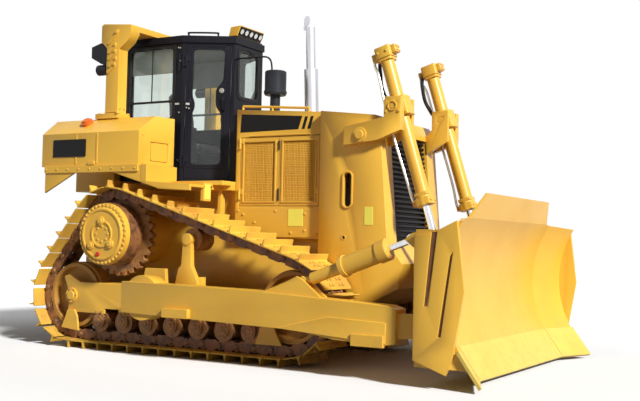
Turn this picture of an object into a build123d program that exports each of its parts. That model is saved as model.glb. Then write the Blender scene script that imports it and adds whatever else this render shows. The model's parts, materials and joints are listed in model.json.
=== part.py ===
"""Crawler dozer with raised drive sprockets, a semi-U blade and a closed cab.

Units are millimetres. +X points forwards to the blade, +Y to the machine's left and +Z up.
The origin lies on the ground under the middle of the machine's overall box.
Right-hand pieces are drawn first and mirrored to the left.
"""

from build123d import *
import math
import os

os.makedirs("parts", exist_ok=True)

# Fits shared by every piece
running_gap = 0.3
door_gap = 6.0
knuckle_radius = 12.0
knuckle_half = 60.0
knuckle_leaf = 45.0

# Tracks
track_gauge = 1980.0
shoe_width = 560.0
link_pitch = 216.0
grouser_height = 72.0
shoe_thickness = 14.0
pin_over_shoe = 58.0
rail_depth = 60.0
rail_spread = 95.0
rail_width = 42.0
idler_pin_radius = 440.0
rear_idler_x = -2295.0
front_idler_x = 640.0
sprocket_x = -1715.0
sprocket_z = 1290.0
sprocket_teeth = 27
sprocket_width = 70.0
roller_count = 7
roller_tread_radius = 105.0
roller_flange = 17.0
first_roller_x = -1875.0
roller_spacing = 340.0
carrier_x = -630.0
carrier_radius = 120.0

# Roller frames
frame_half_width = 165.0
frame_plate = 24.0
frame_bottom = 450.0
frame_top = 740.0

# Hull
hull_rear_x = -2700.0
hull_half_width = track_gauge / 2 - 470
pivot_x = -1300.0
hull_bottom = 500.0
guard_thickness = 50.0
deck_z = 1280.0
case_top = 1800.0
case_front_x = -1050.0
case_half_width = track_gauge / 2 - shoe_width / 2 - 30

# Hood and radiator guard
hood_rear_x = -440.0
hood_front_x = 680.0
hood_half_width = case_half_width - 80
hood_rear_z = 2705.0
hood_front_z = 2630.0
hood_wall = 40.0
door_bottom_z = 1630.0
door_top_z = 2390.0
doors_rear_x = -385.0
doors_front_x = 635.0
radiator_half_width = case_half_width
nose_x = 1650.0

# Cab: doors run inwards from its corners to a narrow windscreen
cab_rear_x = -2130.0
cab_half_width = 590.0
cab_corner_x = -1237.0
cab_front_x = -707.0
cab_front_half_width = 285.0
footwell_top = 2700.0
cab_floor = 1900.0
cab_top = 3530.0
cab_wall = 45.0
roof_thickness = 80.0
roof_overhang = 18.0
pane = 8.0

# Tanks, fenders and roll bar
tank_rear_x = -2750.0
tank_front_x = -1290.0
tank_face_slant = 70.0
tank_bottom = 2060.0
tank_shoulder = 2440.0
tank_top = 2620.0
tank_outer = 1250.0
tank_inner = cab_half_width + 130
fender_rear_x = -2690.0
fender_lip_x = -1180.0
fender_front_x = -575.0
fender_plate = 30.0
platform_half_width = 848.0
platform_bottom = 1850.0
rops_inner = cab_half_width + 290
rops_outer = rops_inner + 150
rops_top = cab_top + roof_thickness + 120
rops_rear_x = -2000.0
rops_front_x = -1810.0

# Blade and push arms
trunnion_x = -920.0
trunnion_z = 630.0
trunnion_radius = 85.0
arm_inner = track_gauge / 2 + shoe_width / 2 + 115
arm_outer = arm_inner + 215
arm_front_x = 1940.0
blade_past_arm = 129.0
wing_width = 459.0
blade_half_width = arm_outer + blade_past_arm
wing_start = blade_half_width - wing_width
blade_tip_x = 2900.0
edge_x = 2712.0
edge_bottom = 50.0
edge_top_z = 345.0
edge_top_x = 2500.0
edge_thickness = 32.0
mold_thickness = 28.0
mold_back = (2360.0, 830.0)
mold_top_x = 2550.0
mold_top_z = 1500.0
spill_x = 2640.0
spill_z = 1737.0

# Lift cylinders
lift_y = radiator_half_width - 100
lift_pin_x = 1550.0
lift_pin_z = 2630.0
eye_x = 2170.0
eye_z = 620.0
barrel_radius = 70.0
barrel_below = 1040.0
barrel_above = 640.0
lift_rod_radius = 40.0
trunnion_block = 95.0
trunnion_play = 5.0
yoke_plate = 40.0
yoke_beam = 80.0
lift_pin_radius = 36.0


def slab(points, y_low, y_high, mode=Mode.ADD):
    """Stretch an outline of (x, z) corners across from one y to another."""
    with BuildSketch(Plane.XZ.offset(-y_high)) as outline:
        with BuildLine():
            Polyline(*points, close=True)
        make_face()
    extrude(outline.sketch, amount=y_high - y_low, mode=mode)


def ring_slab(outer, inner, y_low, y_high):
    """Stretch the band between two closed outlines across from one y to another."""
    with BuildSketch(Plane.XZ.offset(-y_high)) as band:
        with BuildLine():
            Polyline(*outer, close=True)
        make_face()
        with BuildLine():
            Polyline(*inner, close=True)
        make_face(mode=Mode.SUBTRACT)
    extrude(band.sketch, amount=y_high - y_low)


def block(x_low, x_high, y_low, y_high, z_low, z_high, mode=Mode.ADD):
    """Add a plain box between two corners."""
    with Locations(((x_low + x_high) / 2, (y_low + y_high) / 2, (z_low + z_high) / 2)):
        Box(x_high - x_low, y_high - y_low, z_high - z_low, mode=mode)


def cross_pin(x, z, radius, y_low, y_high, mode=Mode.ADD):
    """Add a cylinder along Y."""
    with BuildSketch(Plane.XZ.offset(-y_high)) as section:
        with Locations((x, z)):
            Circle(radius)
    extrude(section.sketch, amount=y_high - y_low, mode=mode)


def bar_between(start, end, radius, mode=Mode.ADD):
    """Add a round bar from one point to another."""
    run = Vector(*end) - Vector(*start)
    with BuildSketch(Plane(origin=start, z_dir=run)) as section:
        Circle(radius)
    extrude(section.sketch, amount=run.length, mode=mode)


def turned(x, z, profile):
    """Turn a profile of (y, radius) corners about an axis along Y."""
    half = Plane(origin=(x, 0, z), x_dir=(0, 1, 0), z_dir=(1, 0, 0))
    with BuildSketch(half) as section:
        with BuildLine():
            Polyline(*profile, close=True)
        make_face()
    revolve(section.sketch, axis=Axis((x, 0, z), (0, 1, 0)))


def prism(points, z_low, z_high, mode=Mode.ADD):
    """Raise a plan of (x, y) corners from one height to another."""
    with BuildSketch(Plane.XY.offset(z_low)) as plan:
        with BuildLine():
            Polyline(*points, close=True)
        make_face()
    extrude(plan.sketch, amount=z_high - z_low, mode=mode)


# Track loop: pins lie on a line round both idlers and the sprocket
pin_z = grouser_height + shoe_thickness + pin_over_shoe
idler_z = pin_z + idler_pin_radius
sprocket_pin_radius = link_pitch / (2 * math.sin(2 * math.pi / sprocket_teeth))
wheels = (
    (rear_idler_x, idler_z, idler_pin_radius),
    (front_idler_x, idler_z, idler_pin_radius),
    (sprocket_x, sprocket_z, sprocket_pin_radius),
)
tangent_angles = []
for (x_a, z_a, r_a), (x_b, z_b, r_b) in zip(wheels, wheels[1:] + wheels[:1]):
    heading = math.degrees(math.atan2(z_b - z_a, x_b - x_a))
    lean = math.degrees(math.acos((r_a - r_b) / math.hypot(x_b - x_a, z_b - z_a)))
    tangent_angles.append(heading - lean)

with BuildLine() as pin_line:
    for index, (x, z, r) in enumerate(wheels):
        into = tangent_angles[index - 1]
        sweep_angle = (tangent_angles[index] - into) % 360
        CenterArc((x, z), r, into, sweep_angle)
    arcs = pin_line.edges()
    for index, arc in enumerate(arcs):
        Line(arc @ 1, arcs[(index + 1) % len(arcs)] @ 0)
pin_wire = pin_line.wire()
shoe_count = round(pin_wire.length / link_pitch)
pins = [pin_wire.position_at(i / shoe_count) for i in range(shoe_count)]
if (pins[1] - pins[0]).cross(Vector(wheels[0][0], wheels[0][1]) - pins[0]).Z < 0:
    pins.reverse()
spacing = pin_wire.length / shoe_count


def knuckle(plane, u, w, v_low, v_high, toward, mode=Mode.ADD):
    """Add one half of a hinge: a barrel outside a wall's plane and its leaf to one side."""
    foot = plane.from_local_coords((u, v_low, w))
    with BuildSketch(Plane(origin=foot, z_dir=(0, 0, 1))) as barrel:
        Circle(knuckle_radius)
    extrude(barrel.sketch, amount=v_high - v_low, mode=mode)
    leaf = sorted((u, u + toward * knuckle_leaf))
    panel_on(plane, *leaf, v_low, v_high, 0, w, mode)


def panel_on(plane, u_low, u_high, v_low, v_high, depth_from, depth_to, mode=Mode.ADD):
    """Add a rectangle on a wall's plane between two depths, negative inwards."""
    corners = ((u_low, v_low), (u_high, v_low), (u_high, v_high), (u_low, v_high))
    outline_on(plane, corners, depth_from, depth_to, mode)


def outline_on(plane, corners, depth_from, depth_to, mode=Mode.ADD):
    """Add an outline of (u, v) corners on a wall's plane between two depths."""
    with BuildSketch(plane.offset(depth_from)) as face:
        with BuildLine():
            Polyline(*corners, close=True)
        make_face()
    extrude(face.sketch, amount=depth_to - depth_from, mode=mode)


def along_links(profile):
    """Repeat a profile of (share of the pitch, height over the pins) on every link."""
    points = []
    for start, end in zip(pins, pins[1:] + pins[:1]):
        along = end - start
        outward = Vector(along.Y, -along.X).normalized()
        for share, height in profile:
            place = start + along * share + outward * height
            points.append((place.X, place.Y))
    return points


shoe_inside = pin_over_shoe
shoe_outside = pin_over_shoe + shoe_thickness
# Columns: share of the pitch, height over the pins
shoe_profile = (
    (0.03, shoe_outside),
    (0.78, shoe_outside),
    (0.85, shoe_outside + grouser_height),
    (0.92, shoe_outside + grouser_height),
    (0.95, shoe_outside),
)
rail_profile = (
    (0.0, 24.0 - rail_depth),
    (0.09, -rail_depth),
    (0.91, -rail_depth),
)
shoe_line = along_links(shoe_profile)
plate_line = along_links(((0.0, shoe_inside),))
rail_line = along_links(rail_profile)

track_y = -track_gauge / 2
with BuildPart() as track_right:
    ring_slab(shoe_line, plate_line, track_y - shoe_width / 2, track_y + shoe_width / 2)
    for rail_y in (track_y - rail_spread, track_y + rail_spread):
        ring_slab(plate_line, rail_line, rail_y - rail_width / 2, rail_y + rail_width / 2)
track_right.part.label = "track_right"
export_step(track_right.part, "parts/track_right.step")

with BuildPart() as track_left:
    mirror(track_right.part, about=Plane.XZ)
track_left.part.label = "track_left"
export_step(track_left.part, "parts/track_left.step")

# Idlers: a rim that carries the link rails, a web and a hub
idler_rim = idler_pin_radius * math.cos(spacing / (2 * idler_pin_radius)) - rail_depth - running_gap
rim_half = rail_spread + rail_width / 2
yoke_inner = frame_half_width - frame_plate
hub_face = yoke_inner - running_gap
idler_profile = (
    (track_y - hub_face, 0),
    (track_y - hub_face, 80),
    (track_y - 40, 110),
    (track_y - 40, idler_rim - 60),
    (track_y - rim_half, idler_rim - 42),
    (track_y - rim_half, idler_rim),
    (track_y - 62, idler_rim),
    (track_y - 56, idler_rim + 18),
    (track_y + 56, idler_rim + 18),
    (track_y + 62, idler_rim),
    (track_y + rim_half, idler_rim),
    (track_y + rim_half, idler_rim - 42),
    (track_y + 40, idler_rim - 60),
    (track_y + 40, 110),
    (track_y + hub_face, 80),
    (track_y + hub_face, 0),
)
with BuildPart() as idlers:
    for x in (rear_idler_x, front_idler_x):
        turned(x, idler_z, idler_profile)
    mirror(about=Plane.XZ)
idlers.part.label = "idlers"
export_step(idlers.part, "parts/idlers.step")

# Bottom rollers run on the link rails
roller_z = pin_z + rail_depth + roller_tread_radius + running_gap
flange_radius = roller_tread_radius + roller_flange
flange_in = rim_half + 4
flange_out = hub_face
roller_profile = (
    (track_y - flange_out, 0),
    (track_y - flange_out, flange_radius),
    (track_y - flange_in, flange_radius),
    (track_y - flange_in, roller_tread_radius),
    (track_y + flange_in, roller_tread_radius),
    (track_y + flange_in, flange_radius),
    (track_y + flange_out, flange_radius),
    (track_y + flange_out, 0),
)
roller_places = [first_roller_x + i * roller_spacing for i in range(roller_count)]
with BuildPart() as track_rollers:
    for x in roller_places:
        turned(x, roller_z, roller_profile)
    mirror(about=Plane.XZ)
track_rollers.part.label = "track_rollers"
export_step(track_rollers.part, "parts/track_rollers.step")

# Carrier roller holds the upper run between sprocket and front idler
run_angle = math.radians(tangent_angles[1])
run_outward = Vector(math.cos(run_angle), math.sin(run_angle))
run_point = Vector(sprocket_x, sprocket_z) + run_outward * sprocket_pin_radius
run_height = run_point.Y - (carrier_x - run_point.X) * run_outward.X / run_outward.Y
carrier_z = run_height - (rail_depth + carrier_radius + running_gap) / run_outward.Y
carrier_profile = (
    (track_y - 150, 0),
    (track_y - 150, 50),
    (track_y - rim_half - 8, 50),
    (track_y - rim_half, carrier_radius),
    (track_y + rim_half, carrier_radius),
    (track_y + rim_half, 0),
)
with BuildPart() as carrier_rollers:
    turned(carrier_x, carrier_z, carrier_profile)
    mirror(about=Plane.XZ)
carrier_rollers.part.label = "carrier_rollers"
export_step(carrier_rollers.part, "parts/carrier_rollers.step")

# Post of the carrier roller, clamped round its shaft at the outer side
post_outer = track_y - 150 - 60
with BuildPart() as carrier_posts:
    post_shape = (
        (carrier_x - 140, frame_top),
        (carrier_x + 150, frame_top),
        (carrier_x + 150, frame_top + 60),
        (carrier_x + 60, frame_top + 230),
        (carrier_x + 45, carrier_z),
        (carrier_x - 55, carrier_z),
        (carrier_x - 70, frame_top + 230),
        (carrier_x - 110, frame_top + 200),
        (carrier_x - 140, frame_top + 60),
    )
    slab(post_shape, post_outer, track_y - 150)
    cross_pin(carrier_x, carrier_z, 62, post_outer - 12, track_y - 150)
    block(carrier_x - 130, carrier_x + 120, track_y - 150, track_y - 20, frame_top, frame_top + 110)
    mirror(about=Plane.XZ)
carrier_posts.part.label = "carrier_posts"
export_step(carrier_posts.part, "parts/carrier_posts.step")

# Toothed sprocket ring on the final drive hub
tooth_tip = sprocket_pin_radius - 2
tooth_root = sprocket_pin_radius - 48
hub_radius = 318.0
half_step = math.pi / sprocket_teeth
tooth_line = []
for tooth in range(sprocket_teeth):
    # Columns: share of half a tooth step, radius
    for share, radius in ((-0.8, tooth_root), (-0.28, tooth_tip), (0.28, tooth_tip), (0.8, tooth_root)):
        angle = (2 * tooth + share) * half_step
        tooth_line.append((sprocket_x + radius * math.cos(angle), sprocket_z + radius * math.sin(angle)))
with BuildPart() as sprockets:
    slab(tooth_line, track_y - sprocket_width / 2, track_y + sprocket_width / 2)
    cross_pin(sprocket_x, sprocket_z, hub_radius + running_gap, track_y - 60, track_y + 60, Mode.SUBTRACT)
    mirror(about=Plane.XZ)
sprockets.part.label = "sprockets"
export_step(sprockets.part, "parts/sprockets.step")

# Final drives reach from the case to the bolted covers outside the tracks
cover_y = track_y - 340
final_drive_profile = (
    (cover_y, 0),
    (cover_y, 285),
    (cover_y + 12, 300),
    (cover_y + 12, 338),
    (cover_y + 70, 345),
    (cover_y + 150, 345),
    (cover_y + 165, hub_radius),
    (track_y + 70, hub_radius),
    (track_y + 90, 300),
    (-hull_half_width, 330),
    (-hull_half_width, 0),
)
with BuildPart() as final_drives:
    turned(sprocket_x, sprocket_z, final_drive_profile)
    mirror(about=Plane.XZ)
final_drives.part.label = "final_drives"
export_step(final_drives.part, "parts/final_drives.step")

# Roller frames: a beam, idler yokes at both ends and a tab at each roller end
beam_rear_x = rear_idler_x + idler_rim + 70
beam_front_x = front_idler_x - idler_rim - 70
frame_in = track_y + frame_half_width
frame_out = track_y - frame_half_width
rear_yoke = (
    (rear_idler_x - 130, idler_z + 215),
    (rear_idler_x - 60, idler_z + 235),
    (rear_idler_x + 110, frame_top),
    (beam_rear_x + 60, frame_top),
    (beam_rear_x + 60, 395),
    (rear_idler_x - 60, 395),
    (rear_idler_x - 40, idler_z),
)
front_yoke = (
    (front_idler_x + 130, idler_z + 110),
    (front_idler_x - 100, frame_top),
    (beam_front_x - 60, frame_top),
    (beam_front_x - 60, frame_bottom),
    (front_idler_x + 130, frame_bottom),
)
with BuildPart() as track_frame_right:
    block(beam_rear_x, beam_front_x, frame_out, frame_in, frame_bottom, frame_top)
    for y_low, y_high in ((frame_out, frame_out + frame_plate), (frame_in - frame_plate, frame_in)):
        slab(rear_yoke, y_low, y_high)
        slab(front_yoke, y_low, y_high)
        for x in roller_places:
            tab_low = roller_z - 45
            tab = ((x - 62, frame_bottom), (x + 62, frame_bottom), (x + 40, tab_low), (x - 40, tab_low))
            slab(tab, y_low, y_high)
    block(beam_rear_x + 500, beam_front_x - 500, frame_out + 60, frame_in - 60,
          frame_bottom + 60, frame_top - 60, Mode.SUBTRACT)
track_frame_right.part.label = "track_frame_right"
export_step(track_frame_right.part, "parts/track_frame_right.step")

with BuildPart() as track_frame_left:
    mirror(track_frame_right.part, about=Plane.XZ)
track_frame_left.part.label = "track_frame_left"
export_step(track_frame_left.part, "parts/track_frame_left.step")

# Pins on the roller frames that the push arms turn on
with BuildPart() as arm_trunnions:
    trunnion_profile = (
        (arm_outer - 52, 0),
        (arm_outer - 52, trunnion_radius),
        (arm_inner - 25, trunnion_radius),
        (-frame_out + 30, 120),
        (-frame_out, 150),
        (-frame_out, 0),
    )
    turned(trunnion_x, trunnion_z, [(-y, r) for y, r in trunnion_profile])
    mirror(about=Plane.XZ)
arm_trunnions.part.label = "arm_trunnions"
export_step(arm_trunnions.part, "parts/arm_trunnions.step")

# Hull: rear case and main frame under the engine
hull_outline = (
    (hull_rear_x, 620),
    (hull_rear_x + 120, hull_bottom),
    (hood_front_x, hull_bottom),
    (hood_front_x, deck_z),
    (case_front_x, deck_z),
    (case_front_x, case_top),
    (hull_rear_x + 150, case_top),
    (hull_rear_x, 1500),
)
equalizer_x = 60.0
equalizer_z = 640.0
equalizer_height = 130.0
with BuildPart() as hull:
    slab(hull_outline, -hull_half_width, hull_half_width)
    block(equalizer_x - 110, equalizer_x + 110, -hull_half_width, hull_half_width,
          hull_bottom, equalizer_z + equalizer_height / 2 + 60, Mode.SUBTRACT)
hull.part.label = "hull"
export_step(hull.part, "parts/hull.step")

guard_spans = (
    (hull_rear_x + 130, pivot_x),
    (pivot_x + 10, equalizer_x - 115),
    (equalizer_x + 115, hood_front_x - 5),
)
guard_half_width = hull_half_width - 20
with BuildPart() as belly_guard:
    for x_low, x_high in guard_spans:
        block(x_low, x_high, -guard_half_width, guard_half_width, hull_bottom - guard_thickness, hull_bottom)
belly_guard.part.label = "belly_guard"
export_step(belly_guard.part, "parts/belly_guard.step")

# Equalizer bar between the roller frames, and the rear pivot shafts
with BuildPart() as equalizer_bar:
    bar_plan = (
        (equalizer_x - 75, frame_in),
        (equalizer_x - 95, 0),
        (equalizer_x - 75, -frame_in),
        (equalizer_x + 75, -frame_in),
        (equalizer_x + 95, 0),
        (equalizer_x + 75, frame_in),
    )
    prism(bar_plan, equalizer_z - equalizer_height / 2, equalizer_z + equalizer_height / 2)
equalizer_bar.part.label = "equalizer_bar"
export_step(equalizer_bar.part, "parts/equalizer_bar.step")

with BuildPart() as pivot_shafts:
    cross_pin(pivot_x, frame_top - 110, 90, frame_in, -hull_half_width)
    mirror(about=Plane.XZ)
pivot_shafts.part.label = "pivot_shafts"
export_step(pivot_shafts.part, "parts/pivot_shafts.step")

# Drawbar with a pin bore at the rear
hitch_x = -2830.0
hitch_z = 720.0
hitch_bore = 26.0
hitch_gap = 90.0
hitch_plate = 50.0
hitch_plate_half = hull_half_width / 2
with BuildPart() as drawbar:
    block(hull_rear_x - 40, hull_rear_x, -hitch_plate_half, hitch_plate_half, hitch_z - 70, hitch_z + 180)
    lug = (
        (hull_rear_x - 40, -110),
        (hitch_x, -70),
        (hitch_x - 70, -35),
        (hitch_x - 70, 35),
        (hitch_x, 70),
        (hull_rear_x - 40, 110),
    )
    for z_low in (hitch_z - hitch_gap / 2 - hitch_plate, hitch_z + hitch_gap / 2):
        prism(lug, z_low, z_low + hitch_plate)
    with Locations((hitch_x, 0, hitch_z)):
        Cylinder(hitch_bore, hitch_gap + 2 * hitch_plate + 2, mode=Mode.SUBTRACT)
drawbar.part.label = "drawbar"
export_step(drawbar.part, "parts/drawbar.step")

# Hood: side walls with door openings, top and firewall
hood_side = Plane(origin=(0, -hood_half_width, 0), x_dir=(1, 0, 0), z_dir=(0, -1, 0))
engine_hinges = (door_bottom_z + 130, door_top_z - 70)
with BuildPart() as hood:
    hood_outline = (
        (hood_rear_x, deck_z),
        (hood_front_x, deck_z),
        (hood_front_x, hood_front_z),
        (hood_rear_x, hood_rear_z),
    )
    slab(hood_outline, -hood_half_width, hood_half_width)
    inside = (
        (hood_rear_x + hood_wall, deck_z),
        (hood_front_x, deck_z),
        (hood_front_x, hood_front_z - hood_wall),
        (hood_rear_x + hood_wall, hood_rear_z - hood_wall),
    )
    slab(inside, -hood_half_width + hood_wall, hood_half_width - hood_wall, Mode.SUBTRACT)
    block(doors_rear_x, doors_front_x, -hood_half_width, hood_half_width,
          door_bottom_z, door_top_z, Mode.SUBTRACT)
    for hinge_z in engine_hinges:
        knuckle(hood_side, doors_rear_x + door_gap / 2, knuckle_radius, hinge_z - knuckle_half, hinge_z, -1)
        knuckle(hood_side, doors_front_x - door_gap / 2, knuckle_radius, hinge_z - knuckle_half, hinge_z, 1)
    mirror(about=Plane.XZ)
hood.part.label = "hood"
export_step(hood.part, "parts/hood.step")

engine_half_width = hood_half_width - 270
with BuildPart() as engine_block:
    block(doors_rear_x + 40, doors_front_x - 60, -engine_half_width, engine_half_width,
          deck_z, door_top_z - 60)
engine_block.part.label = "engine_block"
export_step(engine_block.part, "parts/engine_block.step")

# Engine doors: two on each side, hinged at their outer ends, each a frame round a set-back sheet
doors_split_x = (doors_rear_x + doors_front_x) / 2
half_gap = door_gap / 2
door_span_z = (door_bottom_z + door_gap, door_top_z - door_gap)
door_frame = 52.0
sheet_setback = 8.0
# Columns: name, rear x, front x, hinge x, side its leaf lies on
engine_doors = (
    ("engine_door_rear", doors_rear_x + door_gap, doors_split_x - half_gap, doors_rear_x + half_gap, 1),
    ("engine_door_front", doors_split_x + half_gap, doors_front_x - door_gap, doors_front_x - half_gap, -1),
)
for name, x_low, x_high, hinge_x, leaf_side in engine_doors:
    with BuildPart() as engine_door_right:
        panel_on(hood_side, x_low, x_high, *door_span_z, 0, -hood_wall)
        sheet = (x_low + door_frame, x_high - door_frame, door_span_z[0] + door_frame, door_span_z[1] - door_frame)
        panel_on(hood_side, *sheet, -sheet_setback, 0, Mode.SUBTRACT)
        for hinge_z in engine_hinges:
            knuckle(hood_side, hinge_x, knuckle_radius, hinge_z + running_gap,
                    hinge_z + knuckle_half, leaf_side)
    engine_door_right.part.label = f"{name}_right"
    export_step(engine_door_right.part, f"parts/{name}_right.step")
    with BuildPart() as engine_door_left:
        mirror(engine_door_right.part, about=Plane.XZ)
    engine_door_left.part.label = f"{name}_left"
    export_step(engine_door_left.part, f"parts/{name}_left.step")

# Radiator guard: a deep housing from the nose to the hood's front
guard_wall = 50.0
radiator_floor = 1250.0
guard_slot = (1018.0, 1797.0, 355.0, 90.0)
grille_top_z = 2390.0
grille_bottom_z = 1270.0
grille_half_width = radiator_half_width - 230
front_top_x = 1380.0
front_low_x = 1480.0
lean = (front_low_x - front_top_x) / (2450.0 - grille_bottom_z)


def front_face_x(z):
    """Give the x of the guard's sloping front face at a height."""
    return front_top_x + (2450.0 - z) * lean


guard_outline = (
    (hood_front_x, 500),
    (1250, 620),
    (nose_x - 40, 800),
    (nose_x, 1050),
    (front_low_x, grille_bottom_z),
    (front_top_x, 2450),
    (front_top_x - 60, 2560),
    (hood_front_x, hood_front_z),
)
with BuildPart() as radiator_guard:
    slab(guard_outline, -radiator_half_width, radiator_half_width)
    core = (
        (hood_front_x + guard_wall, radiator_floor),
        (front_face_x(radiator_floor) - 130, radiator_floor),
        (front_face_x(2440) - 130, 2440),
        (hood_front_x + guard_wall, 2540),
    )
    slab(core, -radiator_half_width + guard_wall, radiator_half_width - guard_wall, Mode.SUBTRACT)
    mouth = (
        (800, grille_bottom_z),
        (nose_x, grille_bottom_z),
        (nose_x, grille_top_z),
        (800, grille_top_z),
    )
    slab(mouth, -grille_half_width, grille_half_width, Mode.SUBTRACT)
    slot_x, slot_z, slot_length, slot_width = guard_slot
    with BuildSketch(Plane.XZ.offset(-radiator_half_width)) as side_slot:
        with Locations((slot_x, slot_z)):
            SlotOverall(slot_length, slot_width, rotation=90)
    extrude(side_slot.sketch, amount=2 * radiator_half_width, mode=Mode.SUBTRACT)
radiator_guard.part.label = "radiator_guard"
export_step(radiator_guard.part, "parts/radiator_guard.step")

# Grille: slats on a backing core, seated in the mouth of the guard
slat_count = 22
slat_depth = 60.0
slat_height = 18.0
with BuildPart() as radiator_grille:
    core_panel = (
        (front_face_x(grille_bottom_z) - 120, grille_bottom_z),
        (front_face_x(grille_bottom_z) - 80, grille_bottom_z),
        (front_face_x(grille_top_z) - 80, grille_top_z),
        (front_face_x(grille_top_z) - 120, grille_top_z),
    )
    slab(core_panel, -grille_half_width, grille_half_width)
    slat_step = (grille_top_z - grille_bottom_z) / slat_count
    for i in range(slat_count):
        z = grille_bottom_z + (i + 0.5) * slat_step
        slat = (
            (front_face_x(z) - 90, z - slat_height / 2),
            (front_face_x(z) - 90 + slat_depth, z - slat_height),
            (front_face_x(z) - 90 + slat_depth, z),
            (front_face_x(z) - 90, z + slat_height / 2),
        )
        slab(slat, -grille_half_width, grille_half_width)
radiator_grille.part.label = "radiator_grille"
export_step(radiator_grille.part, "parts/radiator_grille.step")

# Exhaust stack, leaning slightly back, with a hinged rain cap
def hood_top(x):
    """Give the height of the hood's sloping top at a place along it."""
    return hood_rear_z + (hood_front_z - hood_rear_z) * (x - hood_rear_x) / (hood_front_x - hood_rear_x)


def clear_of_hood():
    """Cut the open part off at the hood's top."""
    below = (
        (hood_rear_x, deck_z),
        (hood_front_x, deck_z),
        (hood_front_x, hood_front_z + running_gap),
        (hood_rear_x, hood_rear_z + running_gap),
    )
    slab(below, -hood_half_width, hood_half_width, Mode.SUBTRACT)


stack_foot = (230.0, -100.0, 2610.0)
stack_joint = (205.0, -100.0, 3190.0)
stack_mouth = (185.0, -100.0, 3670.0)
cap_ear_y = 20.3
cap_ear = 8.0
with BuildPart() as exhaust_stack:
    bar_between(stack_foot, stack_joint, 78)
    bar_between(stack_joint, stack_mouth, 52)
    bar_between(stack_joint, stack_mouth, 44, Mode.SUBTRACT)
    clear_of_hood()
    for y_near in (cap_ear_y, -cap_ear_y - cap_ear):
        ear_span = (stack_mouth[1] + y_near, stack_mouth[1] + y_near + cap_ear)
        block(stack_mouth[0] - 74, stack_mouth[0] - 56, *ear_span, stack_mouth[2] - 30, stack_mouth[2] + 20)
        block(stack_mouth[0] - 57, stack_mouth[0] - 45, *ear_span, stack_mouth[2] - 30, stack_mouth[2] - 4)
exhaust_stack.part.label = "exhaust_stack"
export_step(exhaust_stack.part, "parts/exhaust_stack.step")

cap_hinge = Vector(*stack_mouth) + Vector(-62, 0, 14)
cap_open = math.radians(80)
cap_along = Vector(math.cos(cap_open), 0, math.sin(cap_open))
with BuildPart() as rain_cap:
    cap_centre = cap_hinge + cap_along * 66
    cap_normal = Vector(0, 1, 0).cross(cap_along)
    with BuildSketch(Plane(origin=cap_centre, x_dir=cap_along, z_dir=cap_normal)) as cap_face:
        Circle(60)
    extrude(cap_face.sketch, amount=6)
    cross_pin(cap_hinge.X, cap_hinge.Z, 7, stack_mouth[1] - 20, stack_mouth[1] + 20)
rain_cap.part.label = "rain_cap"
export_step(rain_cap.part, "parts/rain_cap.step")

# Air pre-cleaner bowl on its neck
cleaner_x = -60.0
cleaner_y = -hood_half_width + 180
cleaner_foot = hood_top(cleaner_x) - 20
bowl_bottom = 2868.0
bowl_top = 3139.0
bowl_radius = 120.0
cleaner_axis = Plane(origin=(cleaner_x, cleaner_y, 0), x_dir=(1, 0, 0), z_dir=(0, -1, 0))
with BuildPart() as precleaner:
    with BuildSketch(cleaner_axis) as bowl:
        with BuildLine():
            Polyline((0, cleaner_foot), (56, cleaner_foot), (56, bowl_bottom), (bowl_radius - 4, bowl_bottom),
                     (bowl_radius + 8, bowl_bottom + 25), (bowl_radius + 8, bowl_bottom + 45),
                     (bowl_radius, bowl_bottom + 52), (bowl_radius, bowl_top - 12),
                     (bowl_radius - 10, bowl_top), (0, bowl_top), close=True)
        make_face()
    revolve(bowl.sketch, axis=Axis((cleaner_x, cleaner_y, 0), (0, 0, 1)))
    clear_of_hood()
precleaner.part.label = "precleaner"
export_step(precleaner.part, "parts/precleaner.step")

# Cab shell: a glazed body with a footwell that runs forwards under the windscreen to the hood
lower_plan = (
    (cab_rear_x, cab_half_width),
    (cab_corner_x, cab_half_width),
    (cab_front_x, cab_front_half_width),
    (hood_rear_x - 2, cab_front_half_width),
    (hood_rear_x - 2, -cab_front_half_width),
    (cab_front_x, -cab_front_half_width),
    (cab_corner_x, -cab_half_width),
    (cab_rear_x, -cab_half_width),
)
upper_plan = (
    (cab_rear_x, cab_half_width),
    (cab_corner_x, cab_half_width),
    (cab_front_x, cab_front_half_width),
    (cab_front_x, -cab_front_half_width),
    (cab_corner_x, -cab_half_width),
    (cab_rear_x, -cab_half_width),
)


def plan_offset(points, grow, z_low, z_high, mode):
    """Raise a plan drawn out from its corners, or in where the distance is negative."""
    with BuildSketch(Plane.XY.offset(z_low)) as plan:
        with BuildLine():
            Polyline(*points, close=True)
        make_face()
        offset(amount=grow, kind=Kind.INTERSECTION, mode=Mode.REPLACE)
    extrude(plan.sketch, amount=z_high - z_low, mode=mode)


door_run = Vector(cab_front_x - cab_corner_x, cab_half_width - cab_front_half_width)
door_length = door_run.length
door_along = door_run.normalized()
door_out = Vector(door_along.Y, -door_along.X)
door_margin = 40.0
door_low = cab_floor + 45
door_high = cab_top - 20
cab_hinges = (door_low + 200, door_high - 200)
cab_hinge_u = door_margin + door_gap / 2
door_face = Plane(
    origin=(cab_corner_x, -cab_half_width, 0),
    x_dir=(door_along.X, door_along.Y, 0),
    z_dir=(door_out.X, door_out.Y, 0),
)

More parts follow.
